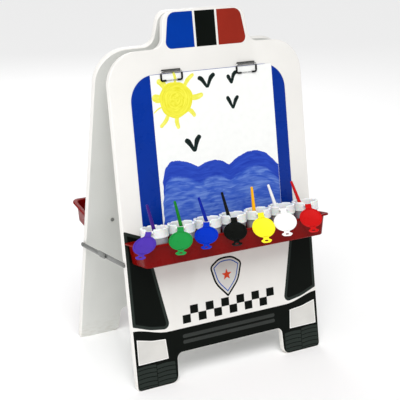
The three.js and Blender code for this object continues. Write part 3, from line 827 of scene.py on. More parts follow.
def cockle(x, y):
    """How the damp paper stands off the panel: flat under the clips, wavy lower down."""
    drop = min(1.0, max(0.0, (PAPER_TOP - y) / 300))
    wave = math.sin(x / 47 + 0.6) * math.sin(y / 61) + 0.5 * math.sin(x / 23 - y / 37)
    return PAPER_BACK + drop * (0.75 + 0.5 * wave)


def grid_rows(left, right, bottom, top, columns, rows):
    return [[(left + (right - left) * column / columns, bottom + (top - bottom) * row / rows)
             for column in range(columns + 1)] for row in range(rows + 1)]


def add_paper(place):
    rows = grid_rows(PAPER_LEFT, PAPER_RIGHT, SHEET_BOTTOM, PAPER_TOP, 48, 54)
    shell = draped_grid(rows, 0, PAPER_THICKNESS, cockle)
    add("painted_paper", [(shell, PAPER)], place, "frame", "paper_sheet")


def painted(name, rows, material, lift, strokes, place):
    """A film of paint on the paper; strokes gives each point's place in its brush stroke:
    along it, across it and, for the sea, how far it is below the top of the waves."""
    shell = draped_grid(rows, PAPER_THICKNESS + lift, 0.1, cockle)
    piece = add(name, [(shell, material)], place, "frame")
    layer = piece.data.attributes.new("stroke", "FLOAT_VECTOR", "POINT")
    layer.data.foreach_set("vector", [number * MM for stroke in strokes * 2 for number in stroke])


def ribbon(name, spine, widths, material, lift, place, wobble=0.0, seed=1):
    """One brush stroke along a smooth spine, round at both ends."""
    chance = random.Random(seed)
    steps = 22
    lanes = 5
    path = [smooth_point(spine, tick / steps) for tick in range(steps + 1)]
    length = sum((after - point).length for point, after in zip(path, path[1:]))
    rows = [[] for _ in range(lanes)]
    strokes = [[] for _ in range(lanes)]
    gone = 0
    for tick, point in enumerate(path):
        along = (path[min(tick + 1, steps)] - path[max(tick - 1, 0)]).normalized()
        across = Vector((-along.y, along.x))
        gone += (path[tick] - path[tick - 1]).length if tick else 0
        half = smooth_value(widths, tick / steps) / 2
        from_end = min(gone, length - gone)
        if from_end < half:
            half = math.sqrt(max(0.05, half * half - (half - from_end) ** 2))
        half *= 1 + wobble * chance.uniform(-1, 1)
        for lane in range(lanes):
            side = 2 * lane / (lanes - 1) - 1
            spot = point + across * side * half
            rows[lane].append((spot.x, spot.y))
            strokes[lane].append((gone, side * half, 0))
    flat = [value for lane in strokes for value in lane]
    painted(name, rows, material, lift, flat, place)


def smooth_point(points, share):
    """A point on a Catmull-Rom curve through the given points."""
    place = share * (len(points) - 1)
    index = min(int(place), len(points) - 2)
    part = place - index
    start = Vector(points[index])
    end = Vector(points[index + 1])
    before = Vector(points[index - 1]) if index else 2 * start - end
    after = Vector(points[index + 2]) if index + 2 < len(points) else 2 * end - start
    return 0.5 * (2 * start + (end - before) * part
                  + (2 * before - 5 * start + 4 * end - after) * part ** 2
                  + (3 * start - before - 3 * end + after) * part ** 3)


def smooth_value(values, share):
    place = share * (len(values) - 1)
    index = min(int(place), len(values) - 2)
    return values[index] + (values[index + 1] - values[index]) * (place - index)


def add_sun(place):
    """A wobbly disc with stubby rays round it."""
    centre = Vector((-111, 785))
    half_width = 51
    half_height = 49
    ray_start = 38
    rings = 12
    spokes = 72
    rows = []
    strokes = []
    for ring in range(rings + 1):
        row = []
        for spoke in range(spokes + 1):
            angle = 2 * math.pi * spoke / spokes
            edge = 1 / math.hypot(math.cos(angle) / half_width, math.sin(angle) / half_height)
            edge += 1.3 * math.sin(3 * angle + 1) + 0.9 * math.sin(7 * angle)
            reach = 0.4 + (edge - 0.4) * (rings - ring) / rings
            row.append((centre.x + reach * math.cos(angle), centre.y + reach * math.sin(angle)))
            strokes.append((angle * 30, reach, 0))
        rows.append(row)
    painted("sun_disc", rows, SUN_PAINT, 0.12, strokes, place)
    # Each ray: its direction, how far it reaches and how wide it is
    rays = [
        (91, 75, 9), (47, 89, 12), (5, 86, 16), (-43, 76, 13), (-89, 80, 13), (-128, 89, 12),
        (-157, 77, 4), (168, 73, 24), (133, 78, 19),
    ]
    for index, (heading, reach, width) in enumerate(rays):
        angle = math.radians(heading)
        bend = math.radians(heading + (4 if index % 2 else -4))
        spine = [
            centre + ray_start * Vector((math.cos(angle), math.sin(angle))),
            centre + (ray_start + reach) / 2 * Vector((math.cos(bend), math.sin(bend))),
            centre + reach * Vector((math.cos(angle), math.sin(angle))),
        ]
        ribbon(f"sun_ray_{index + 1}", spine, [width * 0.8, width, width * 0.75], RAY_PAINT,
               0.05, place, 0.06, index)


def add_birds(place):
    """Four birds, each a pair of strokes that meet at the bottom."""
    birds = [
        ([(-39, 837), (-27, 833), (-10, 808)], [(16, 845), (2, 834), (-10, 808)], 11),
        ([(55, 837), (60, 830), (68, 812)], [(88, 845), (76, 836), (68, 812)], 10),
        ([(49, 778), (55, 768), (67, 742)], [(86, 777), (76, 764), (67, 742)], 10),
        ([(-95, 672), (-83, 665), (-66, 637)], [(-45, 681), (-57, 667), (-66, 637)], 13),
    ]
    for index, (*wings, width) in enumerate(birds):
        for wing, spine in zip(("left", "right"), wings):
            ribbon(f"bird_{index + 1}_{wing}_wing", spine,
                   [width, width * 1.15, width * 0.6], BIRD_PAINT,
                   0.12 if wing == "left" else 0.2, place, 0.05, index)


def wave_top(x):
    """The upper edge of the painted waves: three humps, the middle one the lowest."""
    humps = [(-172, 560), (-166, 600), (-146, 620), (-118, 619), (-88, 610), (-59, 594),
             (-37, 604), (-6, 607), (21, 600), (39, 587), (66, 604), (99, 616), (134, 617),
             (162, 607), (185, 585), (203, 566)]
    for (left, start), (right, end) in zip(humps, humps[1:]):
        if x <= right:
            return start + (end - start) * max(0.0, (x - left) / (right - left))
    return humps[-1][1]


def add_waves(place):
    """The sea: one sheet of paint whose strokes follow the humps and flatten lower down."""
    columns = 150
    levels = 48
    left = -172
    right = PAPER_RIGHT - 0.6
    bottom = SHEET_BOTTOM + 2
    # Where the strokes lie flat, up the board
    calm = 596
    chance = random.Random(7)
    ragged = [chance.uniform(-0.8, 0.8) for _ in range(columns + 1)]
    rows = []
    strokes = []
    for level in range(levels + 1):
        rise = (level / levels) ** 0.8
        row = []
        for column in range(columns + 1):
            share = column / columns
            x = left + share * (right - left)
            top = sum(wave_top(x + shift) for shift in (-3, 0, 3)) / 3 + ragged[column]
            y = bottom + (top - bottom) * rise
            # Lower down the paint reaches the paper's left edge, which it meets unevenly
            spread = (1 - rise) * 10.4 + 1.2 * math.sin(y / 11) + 0.8 * math.sin(y / 4.7)
            row.append((max(x - spread * (1 - share) ** 4, PAPER_LEFT + 0.3), y))
            follow = math.exp(-(top - y) / 55)
            strokes.append((x, follow * top + (1 - follow) * calm - y, top - y))
        rows.append(row)
    painted("painted_waves", rows, WASH, 0.05, strokes, place)


# ---------------------------------------------------------------- fasteners

def cross_recess(angle, half_width, reach):
    """How far a cross-shaped recess reaches in a direction."""
    along = max(abs(math.cos(angle)), 1e-6)
    aside = max(abs(math.sin(angle)), 1e-6)
    return max(min(reach / along, half_width / aside), min(reach / aside, half_width / along))


def circle(radius, level, sides):
    return [(spot.x, spot.y, level) for spot in ellipse(radius, radius, sides=sides)]


def screw_head(radius, height, recess_reach, sides=64):
    """A domed head on the XY plane with a cross-shaped recess in its top."""
    steps = 6
    brow = math.pi * 0.36
    circles = []
    for tick in range(steps + 1):
        angle = brow * tick / steps
        level = height * math.sin(angle) / math.sin(brow)
        circles.append(circle(radius * math.cos(angle), level, sides))
    for level in (height * 1.02, height * 0.45):
        recess = []
        for side in range(sides):
            angle = 2 * math.pi * side / sides
            reach = cross_recess(angle, recess_reach * 0.24, recess_reach)
            recess.append((reach * math.cos(angle), reach * math.sin(angle), level))
        circles.append(recess)
    return loft(circles)


def rod(radius, start, end, sides=32, edge=0.3):
    """A round bar along Z with its two ends broken."""
    levels = [(radius - edge, start), (radius, start + edge), (radius, end - edge), (radius - edge, end)]
    return loft([circle(reach, level, sides) for reach, level in levels])


def dome(radius, base, height, sides=32, steps=6):
    """A low dome on the plane Z = base."""
    return loft([circle(radius * (1 - fall), base + height * rise, sides)
                 for rise, fall in quarter(steps)[:-1]])


# ---------------------------------------------------------------- clips

CLIP_FACE = PANEL_FRONT + TRAY_GAP
BARREL_HEIGHT = PAPER_TOP + 7
BARREL_OUT = CLIP_FACE + 3.3
WIRE_RADIUS = 1.3
WIRE_HALF = 32
WIRE_DROP = 25
BARREL_HALF = 26


def clip_base_shells():
    bottom = PAPER_TOP + 4
    corners = [(29, bottom, 2.5), (29, bottom + 8, 2.5), (-29, bottom + 8, 2.5), (-29, bottom, 2.5)]
    base = slab(rounded_path(corners), TRAY_GAP, CLIP_FACE + 1.6, 0.4, 3)
    # The lower edge of the plate is rolled round the wire
    roll = shifted(rod(2.9, -BARREL_HALF, BARREL_HALF, 36, 0.5), turned_to_x(BARREL_HEIGHT, BARREL_OUT))
    heads = [shifted(dome(1.9, 0, 0.9), at(side * 20, bottom + 6, CLIP_FACE + 1.5)) for side in (-1, 1)]
    return joined(base, *heads), roll


def turned_to_x(y, z):
    """Lays a bar that runs along Z along X instead, at a height and depth."""
    return at(0, y, z) @ turn(90, "Y")


def wire_path(first, last):
    """The wire's loop below its pivot, from one share of its length to another."""
    bend = 5
    corners = [
        (-BARREL_HALF + 8, 0, 0), (-WIRE_HALF, 0, bend), (-WIRE_HALF, -WIRE_DROP, bend),
        (WIRE_HALF, -WIRE_DROP, bend), (WIRE_HALF, 0, bend), (BARREL_HALF - 8, 0, 0),
    ]
    path = rounded_path(corners, closed=False, step=math.radians(12))
    lengths = [0.0]
    for point, after in zip(path, path[1:]):
        lengths.append(lengths[-1] + (after - point).length)
    start = first * lengths[-1]
    end = last * lengths[-1]
    kept = [point_along(path, lengths, start)]
    kept += [point for point, gone in zip(path, lengths) if start + 0.4 < gone < end - 0.4]
    kept.append(point_along(path, lengths, end))
    return [(point.x, point.y, 0) for point in kept]


def point_along(path, lengths, goal):
    for index in range(1, len(path)):
        if goal <= lengths[index] + 1e-6:
            share = (goal - lengths[index - 1]) / (lengths[index] - lengths[index - 1])
            return path[index - 1].lerp(path[index], share)
    return path[-1]


def add_clips(side, place):
    paper_front = CLIP_FACE + 0.5
    press = math.degrees(math.asin((BARREL_OUT - paper_front - TRAY_GAP - WIRE_RADIUS) / WIRE_DROP))
    for hand, facing in HANDS:
        clip = place @ move(facing * CLIP_OFFSET)
        plate, roll = clip_base_shells()
        # The plate's near-black colour is partly painted shade; its rolled edge is a lighter grey
        add(f"{side}_{hand}_clip_plate", [(plate, SHADED_CLIP_STEEL), (roll, ROLLED_STEEL)], clip,
            BODY_OF[side], f"{side}_{hand}_clip_base")
        pivot = clip @ move(0, BARREL_HEIGHT, BARREL_OUT) @ turn(press, "X")
        wire = tube(wire_path(0, 1), WIRE_RADIUS, 16)
        # Each lower corner of the wire gets a thicker black shell: painted reflection, for the dark
        # surroundings that the bright wire mirrors there
        spans = ((0.13, 0.37), (0.63, 0.87))
        dark_reflections = joined(*(tube(wire_path(*span), WIRE_RADIUS + 1.3, 20) for span in spans))
        add(f"{side}_{hand}_clip_loop", [(wire, BRIGHT_WIRE), (dark_reflections, WIRE_REFLECTION_BLACK)], pivot,
            f"{side}_{hand}_wire", f"{side}_{hand}_clip_wire")


# ---------------------------------------------------------------- hinges

HINGE_HEIGHT = BOARD_LENGTH - 12
LEAF_HALF = 30
LEAF_LENGTH = 34
LEAF_THICKNESS = 2
KNUCKLE_RADIUS = 4
KNUCKLE_COUNT = 5
FOOT_REACH = BOARD_LENGTH * math.sin(LEAN) + BOARD_THICKNESS * math.cos(LEAN) + 3
PIN_BACK = (HINGE_HEIGHT * math.sin(LEAN) - FOOT_REACH) / math.cos(LEAN)


def leaf_shell(first):
    face = -BOARD_THICKNESS - TRAY_GAP
    corners = [
        (LEAF_HALF, HINGE_HEIGHT - LEAF_LENGTH, 4), (LEAF_HALF, HINGE_HEIGHT - KNUCKLE_RADIUS - 1, 0.6),
        (-LEAF_HALF, HINGE_HEIGHT - KNUCKLE_RADIUS - 1, 0.6), (-LEAF_HALF, HINGE_HEIGHT - LEAF_LENGTH, 4),
    ]
    shells = [slab(rounded_path(corners), face - LEAF_THICKNESS, face, 0.4, 3)]
    pitch = 2 * LEAF_HALF / KNUCKLE_COUNT
    for index in range(first, KNUCKLE_COUNT, 2):
        left = -LEAF_HALF + index * pitch + 0.15
        right = left + pitch - 0.3
        knuckle = rod(KNUCKLE_RADIUS, left, right, 36, 0.3)
        shells.append(shifted(knuckle, turned_to_x(HINGE_HEIGHT, PIN_BACK)))
        web_bottom = HINGE_HEIGHT - KNUCKLE_RADIUS - 2
        web = [(right, web_bottom), (right, HINGE_HEIGHT), (left, HINGE_HEIGHT), (left, web_bottom)]
        shells.append(slab([Vector(corner) for corner in web], face - LEAF_THICKNESS, face - 1))
    for x, drop in ((-20, 16), (0, 24), (20, 16)):
        head = screw_head(3.4, 0.9, 1.8, 48)
        flip = at(x, HINGE_HEIGHT - drop, face - LEAF_THICKNESS + 0.1) @ turn(180, "Y")
        shells.append(shifted(head, flip))
    return joined(*shells)


def add_hinges(places):
    for hand, facing in HANDS:
        for side, first, offset_sign in (("front", 0, 1), ("rear", 1, -1)):
            leaf = places[side] @ move(offset_sign * facing * HINGE_OFFSET)
            add(f"{hand}_hinge_{side}_plate", [(leaf_shell(first), ZINC)], leaf, BODY_OF[side],
                f"{hand}_hinge_{side}_leaf")
        end = LEAF_HALF + TRAY_GAP
        head = dome(2.8, end, 1.5)
        pin = joined(rod(1.6, -end, end, 24, 0.1), head, shifted(head, turn(180, "Y")))
        lying = places["front"] @ move(facing * HINGE_OFFSET, HINGE_HEIGHT, PIN_BACK) @ turn(90, "Y")
        add(f"{hand}_hinge_rod", [(pin, ZINC)], lying, "frame", f"{hand}_hinge_pin")


# ---------------------------------------------------------------- braces

LINK_THICKNESS = 2.5
LINK_HALF = 6.5
LOCK_PLATE_LENGTH = 34
LOCK_PLATE_HALF = 8.5


def pivot_of(node):
    """The middle of a small fastener, on its own axis."""
    low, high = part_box(node)
    return (low + high) / 2


def outer_end(node, facing):
    """How far out a piece's outer end is, in metres, and how long it is across the easel."""
    low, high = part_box(node)
    return high.x if facing > 0 else low.x, (high.x - low.x) / MM


def link_shell(length, knee_half, rise):
    """A pressed steel link along Y with its back on Z = 0, stiffened by a raised bead."""
    locks = knee_half > LINK_HALF
    lock_start = length - LOCK_PLATE_LENGTH
    right = [(LINK_HALF, -LINK_HALF, LINK_HALF - 0.05)]
    if locks:
        right += [(LINK_HALF, lock_start, 2), (knee_half, lock_start + 3, 2)]
    right.append((knee_half, length + knee_half, knee_half - 0.05))
    bar = slab(rounded_path(right + mirrored(right), step=math.radians(10)), 0, LINK_THICKNESS, 0.5, 3)
    bead_half = 2.6
    bead_top = lock_start - 8 if locks else length - 16
    bead_right = [(bead_half, 14, bead_half - 0.05), (bead_half, bead_top, bead_half - 0.05)]
    bead = slab(rounded_path(bead_right + mirrored(bead_right), step=math.radians(15)),
                LINK_THICKNESS - 0.3, LINK_THICKNESS + rise, 0.2 + 0.7 * rise, 4)
    return joined(bar, bead)


def add_braces():
    for hand, facing in HANDS:
        front = pivot_of(f"{hand}_brace_front_screw")
        rear = pivot_of(f"{hand}_brace_rear_screw")
        knee = pivot_of(f"{hand}_brace_knee_rivet")
        out = Vector((facing, 0, 0))
        # The front link folds flat behind the rear one, so its bead is the lower
        for end, pivot, half, rise in (("front", front, LINK_HALF, 0.3),
                                       ("rear", rear, LOCK_PLATE_HALF, 1.1)):
            node = f"{hand}_brace_{end}_link"
            plane = outer_end(node, facing)[0] - facing * LINK_THICKNESS * MM
            start = Vector((plane, pivot.y, pivot.z))
            goal = Vector((plane, knee.y, knee.z))
            up = (goal - start).normalized()
            place = axes_frame(up.cross(out), up, out, start)
            length = (goal - start).length / MM
            add(f"{hand}_brace_{end}_bar", [(link_shell(length, half, rise), ZINC)], place,
                f"{hand}_{end}_link", node)
            add_pivot_screw(hand, facing, end, pivot)
        tip, length = outer_end(f"{hand}_brace_knee_rivet", facing)
        place = side_frame(Vector((tip, knee.y, knee.z)), facing)
        rivet = joined(rod(2, -length, -1.5, 24, 0.1), dome(5.5, -2.2, 2.2))
        add(f"{hand}_knee_rivet_head", [(rivet, ZINC)], place, f"{hand}_rear_link",
            f"{hand}_brace_knee_rivet")


def side_frame(origin, facing):
    """A frame whose Z points out of one side of the easel."""
    out = Vector((facing, 0, 0))
    up = Vector((0, 0, 1))
    return axes_frame(up.cross(out), up, out, origin)


def add_pivot_screw(hand, facing, end, pivot):
    """A screw into the board's edge, with a spacer behind the link."""
    node = f"{hand}_brace_{end}_screw"
    tip, length = outer_end(node, facing)
    place = side_frame(Vector((tip, pivot.y, pivot.z)), facing)
    shank = rod(2, -length, -1, 24, 0.2)
    link_end, link_span = outer_end(f"{hand}_brace_{end}_link", facing)
    gap = abs(link_end - tip) / MM + link_span
    spacer = rod(4.5, -gap - 0.9 if end == "front" else -gap - 3.9, -gap - 0.3, 32, 0.2)
    head = shifted(screw_head(5.5, 2.2, 2.6), at(0, 0, -2.25))
    add(f"{hand}_brace_{end}_pivot", [(joined(shank, spacer, head), ZINC)], place, BODY_OF[end],
        node)


# ---------------------------------------------------------------- trays

def tray_ring(height, half, back, front, radius, back_radius=2.0):
    """A ring round the tray at one height, anticlockwise as seen from above its rim."""
    steps = 10
    ring = []
    for hand, side, start in ((1, 1, 0), (1, -1, 90), (-1, -1, 180), (-1, 1, 270)):
        size = radius if side > 0 else back_radius
        middle_x = hand * (half - size)
        middle_z = (front if side > 0 else back) - side * size
        for tick in range(steps + 1):
            # Clockwise in X and Z is anticlockwise as seen along the slope from above
            angle = math.radians(90 - start - 90 * tick / steps)
            ring.append((middle_x + size * math.cos(angle), height, middle_z + size * math.sin(angle)))
    return ring


def tray_shell():
    """One skin: up the outside, over the turned-down rim and down the inside to the floor."""
    wall = TRAY_WALL
    gap = TRAY_GAP
    under = TRAY_TOP - wall
    drop = TRAY_TOP - RIM_DROP
    floor = TRAY_FLOOR + wall
    inner_edge = RIM_WIDTH - wall
    foot_round = 5
    rim_round = 2.6
    mouth_round = 1.6
    rings = []
    for rise, fall in quarter(4):
        narrow = foot_round * (1 - rise)
        rings.append(tray_ring(TRAY_FLOOR + foot_round * fall, TRAY_HALF_BOTTOM - narrow, gap + 0.9,
                               TRAY_DEPTH_BOTTOM - narrow, 17 - narrow))
    # Under the rim and over its edge: height, how far out, how far off the board, corner radius
    for height, spread, off, radius in (
            (under - 1.5, -0.2, 0.8, 18), (under, 1.2, 0.7, 19), (under, inner_edge - 1, 0.6, 20),
            (under - 1, inner_edge, 0.5, 21), (drop + 0.4, inner_edge, 0.4, 21),
            (drop, RIM_WIDTH - wall / 2, 0.3, 21.5), (drop + 0.4, RIM_WIDTH, 0.2, 22)):
        rings.append(tray_ring(height, TRAY_HALF_TOP + spread, gap + off, TRAY_DEPTH_TOP + spread, radius))
    for rise, fall in quarter(4):
        spread = RIM_WIDTH - rim_round * fall
        rings.append(tray_ring(TRAY_TOP - rim_round * (1 - rise), TRAY_HALF_TOP + spread, gap + 0.1,
                               TRAY_DEPTH_TOP + spread, 22 - rim_round * fall))
    for rise, fall in quarter(3):
        narrow = wall - mouth_round * (1 - rise)
        rings.append(tray_ring(TRAY_TOP - mouth_round * fall, TRAY_HALF_TOP - narrow,
                               gap + wall - 0.8 * (1 - rise), TRAY_DEPTH_TOP - narrow, 17, 4))
    for rise, fall in quarter(4):
        narrow = wall + foot_round * fall
        rings.append(tray_ring(floor + foot_round * (1 - rise), TRAY_HALF_BOTTOM - narrow,
                               gap + wall + 0.3 * rise, TRAY_DEPTH_BOTTOM - narrow, 16 - 4 * rise, 4))
    return loft(rings)


def add_tray(side, place):
    add(f"{side}_paint_tray", [(tray_shell(), TRAY_PLASTIC)], place, BODY_OF[side],
        f"{side}_tray", 40)
    head_out = TRAY_WALL + 2 * TRAY_GAP
    for hand, facing in HANDS:
        bolt = place @ move(facing * BOLT_OFFSET, BOLT_HEIGHT)
        shank = rod(3, -BOARD_THICKNESS - 3, head_out + 0.5, 24)
        head = shifted(screw_head(6, 3, 2.8), at(0, 0, head_out - 0.2))
        add(f"{side}_{hand}_bolt_head", [(joined(shank, head), ZINC)], bolt, BODY_OF[side],
            f"{side}_{hand}_tray_bolt")
        back = -BOARD_THICKNESS - TRAY_GAP
        barrel = rod(5.5, back - 2.6, back, 40, 0.4)
        collar = shifted(dome(5.0, 0, 1.8, 40), at(0, 0, back - 2.5) @ turn(180, "Y"))
        add(f"{side}_{hand}_barrel_nut", [(joined(barrel, collar), ZINC)], bolt, BODY_OF[side],
            f"{side}_{hand}_tray_nut")


# ---------------------------------------------------------------- paint cups

LUG_INNER = STRAP_WIDTH / 2 + 0.4
LUG_OUTER = LUG_INNER + 3.5


def cup_body_shell():
    collar_bottom = CUP_HEIGHT - COLLAR_HEIGHT
    return turned_profile([
        (0, 0.8, 0), (BASE_RADIUS - 5, 0.8, 1), (BASE_RADIUS - 4.2, 0, 0.5), (BASE_RADIUS, 0, 2),
        (BODY_RADIUS - 0.3, collar_bottom + 3, 0), (BODY_RADIUS - 2.6, collar_bottom + 3, 0),
        (BASE_RADIUS - CUP_WALL, CUP_WALL, 2), (0, CUP_WALL, 0),
    ], 64)


def collar_profile():
    bottom = CUP_HEIGHT - COLLAR_HEIGHT
    return [
        (BODY_RADIUS - 2.6, bottom + 2.5, 0), (BODY_RADIUS + 0.1, bottom + 2.5, 0),
        (BODY_RADIUS + 0.1, bottom, 0.4), (COLLAR_RADIUS, bottom, 1.0), (COLLAR_RADIUS, bottom + 4, 0.3),
        (COLLAR_RADIUS - 0.6, bottom + 4.8, 0.3), (COLLAR_RADIUS - 0.6, CUP_HEIGHT - 5.5, 0.3),
        (COLLAR_RADIUS, CUP_HEIGHT - 4.7, 0.3), (COLLAR_RADIUS, CUP_HEIGHT, 2.0),
        (MOUTH_RADIUS + 1.5, CUP_HEIGHT, 1.2), (MOUTH_RADIUS, CUP_HEIGHT - 3, 1.2),
        (MOUTH_RADIUS, bottom + 5, 0.8), (BODY_RADIUS - 2.6, bottom + 2.5, 0),
    ]


def collar_shell(sides=96):
    """The screwed collar: its lip is notched, most deeply where the lid's strap passes."""
    path = rounded_path(collar_profile(), closed=False, step=math.radians(18))
    rows = [(point.x, point.y) for point in path[:-1]]
    points = []
    for radius, height in rows:
        for side in range(sides):
            angle = 2 * math.pi * side / sides
            # Angle 0 is on the outward side, where the notch is
            x = radius * math.sin(angle)
            z = radius * math.cos(angle)
            limit = CUP_HEIGHT
            if abs(x) < LUG_INNER + 1.2 and z > 0:
                limit = LIP_HEIGHT
            elif (math.degrees(angle) + 8) % 60 < 16:
                limit = CUP_HEIGHT - 2.4
            points.append(Vector((x, min(height, limit), z)))
    faces = []
    for row in range(len(rows)):
        low = row * sides
        high = (row + 1) % len(rows) * sides
        for side in range(sides):
            near = (side + 1) % sides
            faces.append((low + side, low + near, high + near, high + side))
    return points, faces


def lug_shell(side):
    """A rounded ear beside the strap, which carries the lid's trunnion."""
    low, high = LID_PIVOT_HEIGHT - 3, LIP_HEIGHT + 2
    inner, outer = COLLAR_RADIUS - 3, LID_PIVOT_OUT + 3.2
    corners = [(inner, low, 0), (outer, low, 2.6), (outer, high, 3), (inner, high, 0)]
    shape = rounded_path(corners, step=math.radians(15))
    back, front = sorted((side * LUG_INNER, side * LUG_OUTER))
    flat = slab(shape, back, front, 0.5, 2)
    # The slab's X, Y and Z become the cup's Z, Y and X
    points = [Vector((point.z, point.y, point.x)) for point in flat[0]]
    return points, flipped(flat[1])


def lid_disc_shell():
    thick = LID_THICKNESS
    return turned_profile([
        (0, 0.2, 0), (LID_RADIUS - 6.6, 0.2, 0.3), (LID_RADIUS - 5.9, 0.8, 0.3),
        (LID_RADIUS - 4.4, 0.8, 0.3), (LID_RADIUS - 3.7, 0, 0.4), (LID_RADIUS, 0, 0.8),
        (LID_RADIUS, thick, 0.8), (LID_RADIUS - 2.6, thick, 0.3), (LID_RADIUS - 3, thick + 1.6, 0.5),
        (LID_RADIUS - 5, thick + 1.6, 0.5), (LID_RADIUS - 5.4, thick - 0.3, 0.6), (0, thick - 0.5, 0),
    ], 72)


def tab_shell():
    """The thumb tab: a crescent on a short neck, with an oval slot through it."""
    disc_out = STRAP_LENGTH + LID_RADIUS
    top = disc_out + LID_RADIUS
    outer = rounded_path([
        (-8.5, top - 5, 0), (8.5, top - 5, 0), (7.5, top + 4.5, 2.5), (16, top + 9, 2.2),
        (9.5, top + 16.3, 9), (-9.5, top + 16.3, 9), (-16, top + 9, 2.2), (-7.5, top + 4.5, 2.5),
    ], step=math.radians(12))
    slot = ellipse(5, 2.6, 0, top + 9.5, 40)
    return pierced_slab(outer, slot, 0, LID_THICKNESS, 0.5)


def pierced_slab(outer, hole, back, front, edge):
    """A plate with one hole, both anticlockwise; its edges are rounded."""
    depths = [(edge, back), (0.15 * edge, back + 0.5 * edge), (0, back + edge), (0, front - edge),
              (0.15 * edge, front - 0.5 * edge), (edge, front)]
    wall = loft([[(*spot, level) for spot in offset(outer, -shrink)] for shrink, level in depths],
                capped=False)
    bore = loft([[(*spot, level) for spot in offset(hole, shrink)] for shrink, level in depths],
                capped=False)
    points, faces = joined(wall, (bore[0], flipped(bore[1])))
    outer_count, hole_count = len(outer), len(hole)
    last = len(depths) - 1
    for level, upward in ((0, False), (last, True)):
        outer_ids = [level * outer_count + i for i in range(outer_count)]
        start = len(depths) * outer_count + level * hole_count
        hole_ids = [start + i for i in range(hole_count)]
        ids = outer_ids + hole_ids
        loops = [[points[i] for i in outer_ids], [points[i] for i in hole_ids]]
        for triangle in tessellate_polygon(loops):
            corners = tuple(ids[i] for i in triangle)
            a, b, c = (points[i] for i in corners)
            rises = (b - a).cross(c - a).z > 0
            faces.append(corners if rises == upward else tuple(reversed(corners)))
    return points, faces


def lid_shell():
    disc_out = STRAP_LENGTH + LID_RADIUS
    disc = shifted(lid_disc_shell(), at(0, 0, disc_out))
    # Flat pieces are drawn in X and Y and laid along the lid, sealing side up
    lay = Matrix(((1, 0, 0, 0), (0, 0, 1, 0), (0, 1, 0, 0), (0, 0, 0, 1)))
    half = STRAP_WIDTH / 2
    right = [(half, 0.5, 0), (half, STRAP_LENGTH - 1, 6), (half + 4, STRAP_LENGTH + 5, 1)]
    strap = slab(rounded_path(right + mirrored(right)), 0, LID_THICKNESS, 0.4, 2)
    flats = []
    for shell in (strap, tab_shell()):
        points, faces = shifted(shell, lay)
        flats.append((points, flipped(faces)))
    across = turned_to_x(0, 0)
    knuckle = shifted(rod(2.6, -half, half, 32, 0.3), across)
    trunnions = shifted(rod(1.2, -LUG_OUTER + 0.2, LUG_OUTER - 0.2, 20, 0.2), across)
    return joined(disc, *flats, knuckle, trunnions)


def handle_profile():
    return [
        (0, 30, 0), (3.0, 30, 0.5), (3.3, 34, 2), (4.3, 52, 30), (5.4, 80, 60), (4.9, 104, 60),
        (4.3, 128, 60), (3.4, BRUSH_LENGTH - 2, 0), (3.2, BRUSH_LENGTH - 0.9, 0),
        (2.3, BRUSH_LENGTH - 0.3, 0), (0, BRUSH_LENGTH, 0),
    ]


def bristle_shells(chance):
    """A round tuft of fine tapered strands that draws to a soft point."""
    shells = []
    rings = ((0.0, 1), (0.75, 6), (1.45, 12), (2.1, 18), (2.75, 24))
    for reach, count in rings:
        for strand in range(count):
            angle = 2 * math.pi * (strand + chance.uniform(-0.2, 0.2)) / count
            out = Vector((math.cos(angle), 0, math.sin(angle)))
            tip = chance.uniform(0.3, 2.6) + reach * 1.5
            path = [
                out * reach + Vector((0, 25, 0)),
                out * reach * 1.08 + Vector((0, 14, 0)),
                out * (reach * 0.45 + chance.uniform(0, 0.25)) + Vector((0, tip, 0)),
            ]
            shells.append(tube(path, [0.27, 0.27, 0.10], 5))
    return shells


def add_brush(cup, stand, index):
    chance = random.Random(20 + index)
    foot = Vector((cup["foot"][0], CUP_WALL + 2.5, cup["foot"][1]))
    rim = Vector((cup["rim"][0], CUP_HEIGHT, cup["rim"][1]))
    lean = Vector((0, 1, 0)).rotation_difference((rim - foot).normalized()).to_matrix().to_4x4()
    place = stand @ move(*foot) @ lean
    body = f"{cup['colour']}_brush_body"
    plastic = moulded_plastic(f"{cup['colour']}_handle", cup["handle"], 0.3)
    add(f"{cup['colour']}_brush_handle", [(turned_profile(handle_profile(), 40), plastic)], place, body,
        f"{cup['colour']}_brush")
    band = turned_profile([(2.9, 19, 0), (3.35, 19, 0.2), (3.35, 22, 0.3), (3.15, 22.8, 0.3),
                           (3.35, 23.6, 0.3), (3.4, 32, 0.2), (3.0, 32, 0)], 40)
    add(f"{cup['colour']}_brush_ferrule", [(band, FERRULE)], place, body)
    add(f"{cup['colour']}_brush_bristles", [(joined(*bristle_shells(chance)), BRISTLE)], place, body)


def resting_slope(heading):
    """How far a lid hangs from the cup's axis when its nearer side rests on the tray's rim."""
    rim = TRAY_DEPTH_TOP + RIM_WIDTH + 2 * TRAY_GAP
    reach = (rim - CUP_OUT + LID_RADIUS * math.sin(heading)) / math.cos(heading)
    return math.degrees(math.atan2(reach - LID_PIVOT_OUT, CUP_FLOOR + LID_PIVOT_HEIGHT - TRAY_TOP))


def add_cup_and_collar(cup, stand):
    colour = cup["colour"]
    # The yellow paint shows through its cup, and the others hardly do
    show = 0.75 if colour == "yellow" else 0.22
    body_plastic = cup_material(colour, cup["paint"], show)
    lugs = joined(*(lug_shell(side) for side in (-1, 1)))
    parts = [(cup_body_shell(), body_plastic), (collar_shell(), COLLAR_PLASTIC), (lugs, COLLAR_PLASTIC)]
    add(f"{colour}_cup_and_collar", parts, stand, f"{colour}_cup", f"{colour}_paint_cup", 32)


